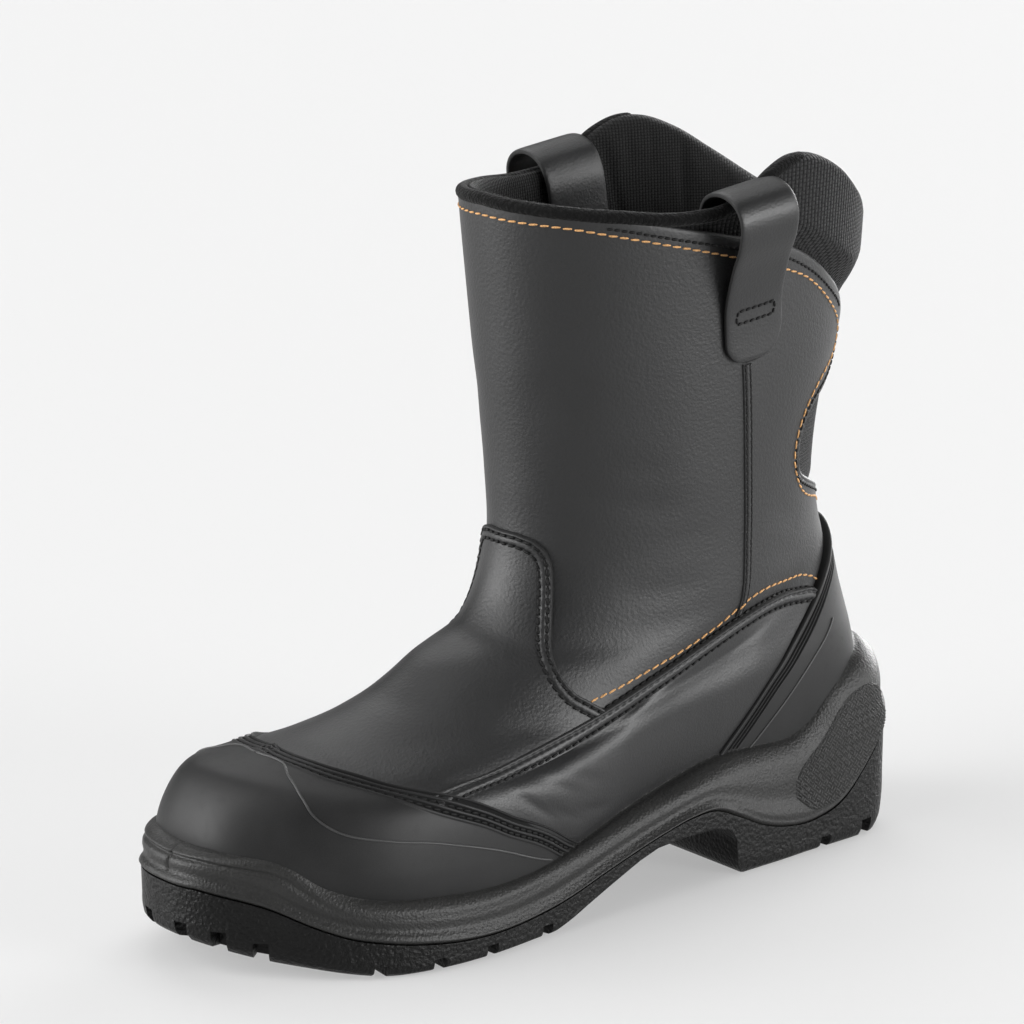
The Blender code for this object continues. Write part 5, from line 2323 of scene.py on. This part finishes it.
@dataclass
class Studio:
    """Pale floor, soft light and the photograph's camera."""

    floor_colour: Colour = (0.34, 0.34, 0.34)
    floor_glow: float = 0.40
    ambient: float = 0.02
    azimuth: float = -38.3
    elevation: float = 15.1
    distance: float = 1770.0
    target: tuple[float, float, float] = (156.4, 0.3, 139.0)
    lens: float = 176.9

    def build(self) -> None:
        """Makes floor, lights and camera."""
        self.floor()
        self.lights()
        self.camera()

    def floor(self) -> None:
        """A wide pale floor."""
        mesh = bmesh.new()
        bmesh.ops.create_grid(mesh, x_segments=1, y_segments=1, size=12.0)
        graph = Graph("pale_floor")
        spot = graph.spot(System.OBJECT)
        tone = graph.noise(spot, 900.0, 1.0)
        colour = graph.tint(tone, self.floor_colour, 0.995, 1.005)
        finish = graph.shade(
            {
                "Base Color": colour,
                "Roughness": 0.9,
                "Specular IOR Level": 0.1,
                "Emission Color": (1.0, 1.0, 1.0, 1.0),
                "Emission Strength": self.floor_glow,
            }
        )
        data = bpy.data.meshes.new("floor")
        mesh.to_mesh(data)
        mesh.free()
        data.materials.append(finish)
        floor = bpy.data.objects.new("floor", data)
        bpy.context.scene.collection.objects.link(floor)

    def lights(self) -> None:
        """Broad soft lights low and high on both sides, behind and overhead."""
        scene = bpy.context.scene
        scene.view_settings.view_transform = "Standard"
        scene.view_settings.look = "None"
        world = bpy.data.worlds.new("studio")
        world.use_nodes = True
        backdrop = world.node_tree.nodes["Background"]
        backdrop.inputs["Color"].default_value = (1.0, 1.0, 1.0, 1.0)
        backdrop.inputs["Strength"].default_value = self.ambient
        scene.world = world
        for name, azimuth, elevation, strength, spread_degrees in (
            ("right_low", 26.0, 4.0, 4.2, 36.0),
            ("right_side", 70.0, 10.0, 1.0, 36.0),
            ("right_behind", 110.0, 4.0, 4.6, 36.0),
            ("left_low", -120.0, 4.0, 3.9, 36.0),
            ("left_behind", -140.0, 20.0, 0.8, 36.0),
            ("left_high", -100.0, 42.0, 1.5, 36.0),
            ("behind", 160.0, 42.0, 0.7, 36.0),
            ("front_top", -38.0, 70.0, 0.4, 36.0),
            ("overhead", 120.0, 70.0, 0.8, 40.0),
        ):
            lamp = bpy.data.lights.new(name, "SUN")
            lamp.energy = strength
            lamp.angle = math.radians(spread_degrees)
            light = bpy.data.objects.new(name, lamp)
            light.rotation_euler = towards(azimuth, elevation).to_track_quat("Z", "Y").to_euler()
            scene.collection.objects.link(light)

    def camera(self) -> None:
        """A camera at the photograph's angle."""
        back = towards(self.azimuth, self.elevation)
        view = bpy.data.cameras.new("camera")
        view.lens = self.lens
        view.sensor_width = 36.0
        view.clip_end = 100.0
        camera = bpy.data.objects.new("camera", view)
        camera.location = Vector(place(np.array(self.target))) + back * self.distance * MM
        camera.rotation_euler = back.to_track_quat("Z", "Y").to_euler()
        bpy.context.scene.collection.objects.link(camera)
        bpy.context.scene.camera = camera


# First and last angles of the panels' edges, and how wide the strips along them are
CAP_STRIP = ((92.0, 268.0), 8.2)
COUNTER_STRIP = ((-68.0, 68.0), 7.0)
VAMP_STRIP = ((101.0, 259.0), 7.8)
QUARTER_STRIPS = {1: ((33.2, 126.0), 6.4), -1: ((234.0, 326.8), 6.4)}
# Where the pull loops start on the shaft, along and in height
LOOP_FEET = {1: (85.5, 192.5), -1: (89.5, 192.5)}


def both_sides(table: Table) -> Iterator[Array]:
    """A line of steps on the outer and on the inner side of the upper.

    Args:
        table: The line's rows.

    Yields:
        The points of each side's line.
    """
    for side in SIDES:
        steps = np.linspace(0, table.rows[-1][0], 900)
        yield LAST.surface(side * table.at(steps, "degrees"), table.at(steps, "level"))


def main() -> None:
    """Builds the boot's pieces in order, then the studio."""
    logging.basicConfig(level=logging.INFO, format="%(message)s")
    finishes = Finishes()
    Outsole(finishes).build()
    Midsole(finishes).build()
    for side in SIDES:
        HeelPatch(finishes, side).build()
    Insole(finishes).build()
    shaft = Shaft(finishes)
    shaft_seat = shaft.build()
    OpeningEdge(finishes, shaft).build()
    cap = ToeCap(finishes, "moulded_toe_cap", ("toe_cap",), Edge(CAP_EDGE, *CAP_STRIP), 200)
    cap_seat = cap.build(finishes.cap, "cap_rubber")
    MouldLine(finishes.mould_line_painted_highlight, "cap_line", CAP_MOULD_LINE, cap.thickness).build()
    edge = Edge(COUNTER_EDGE, *COUNTER_STRIP)
    counter = HeelCounter(finishes, "moulded_heel_counter", ("heel_counter",), edge, 160)
    counter.build(finishes.cap, "cap_rubber")
    MouldLine(finishes.mould_line_painted_highlight, "counter_line", COUNTER_LINE, counter.thickness).build()
    seams = []
    for side, word in SIDES.items():
        edge = Edge(QUARTER_EDGE, *QUARTER_STRIPS[side])
        quarter = Quarter(finishes, f"quarter_panel_{word}", (f"quarter_{word}",), edge, 200, side=side)
        seat = quarter.build(finishes.smooth_leather, "smooth_leather")
        seams += [Seam(edge.line(sewn), seat, quarter.pitch) for sewn in quarter.rows_sewn]
    vamp = Vamp(finishes, "vamp_panel", ("vamp",), Edge(VAMP_EDGE, *VAMP_STRIP), 220)
    vamp_seat = vamp.build(finishes.leather, "leather")
    strips = []
    for side in SIDES:
        strip = SideSeam(finishes, side)
        strips.append(strip.build())
        for shift in (-strip.rows_sewn, strip.rows_sewn):
            seams.append(Seam(strip.line(shift), strips[-1], Pitch.SIDE_SEAM))
    collar = Collar(finishes)
    collar.build()
    collar.roll()
    for side in SIDES:
        loop = PullLoop(finishes, side, LOOP_FEET[side])
        seams.append(Seam(loop.box_line(), loop.build(), Pitch.SHORT))
    seams += [Seam(line, shaft_seat, Pitch.SHORT) for line in shaft.edge_rows()]
    seams += [Seam(cap.edge.line(sewn), cap_seat, cap.pitch) for sewn in cap.grooves]
    seams += [Seam(vamp.edge.line(sewn), vamp_seat, vamp.pitch) for sewn in vamp.rows_sewn]
    Sewing(finishes.black_thread, "black_stitches", "textile").build(seams)
    tan = []
    for table in (TOP_THREAD, ANKLE_THREAD):
        tan += [Seam(line, shaft_seat, Pitch.TAN, tuple(strips)) for line in both_sides(table)]
    Sewing(finishes.tan_thread, "tan_stitches", "textile", width=0.8, height=0.7).build(tan)
    Studio().build()


if __name__ == "__main__":
    main()
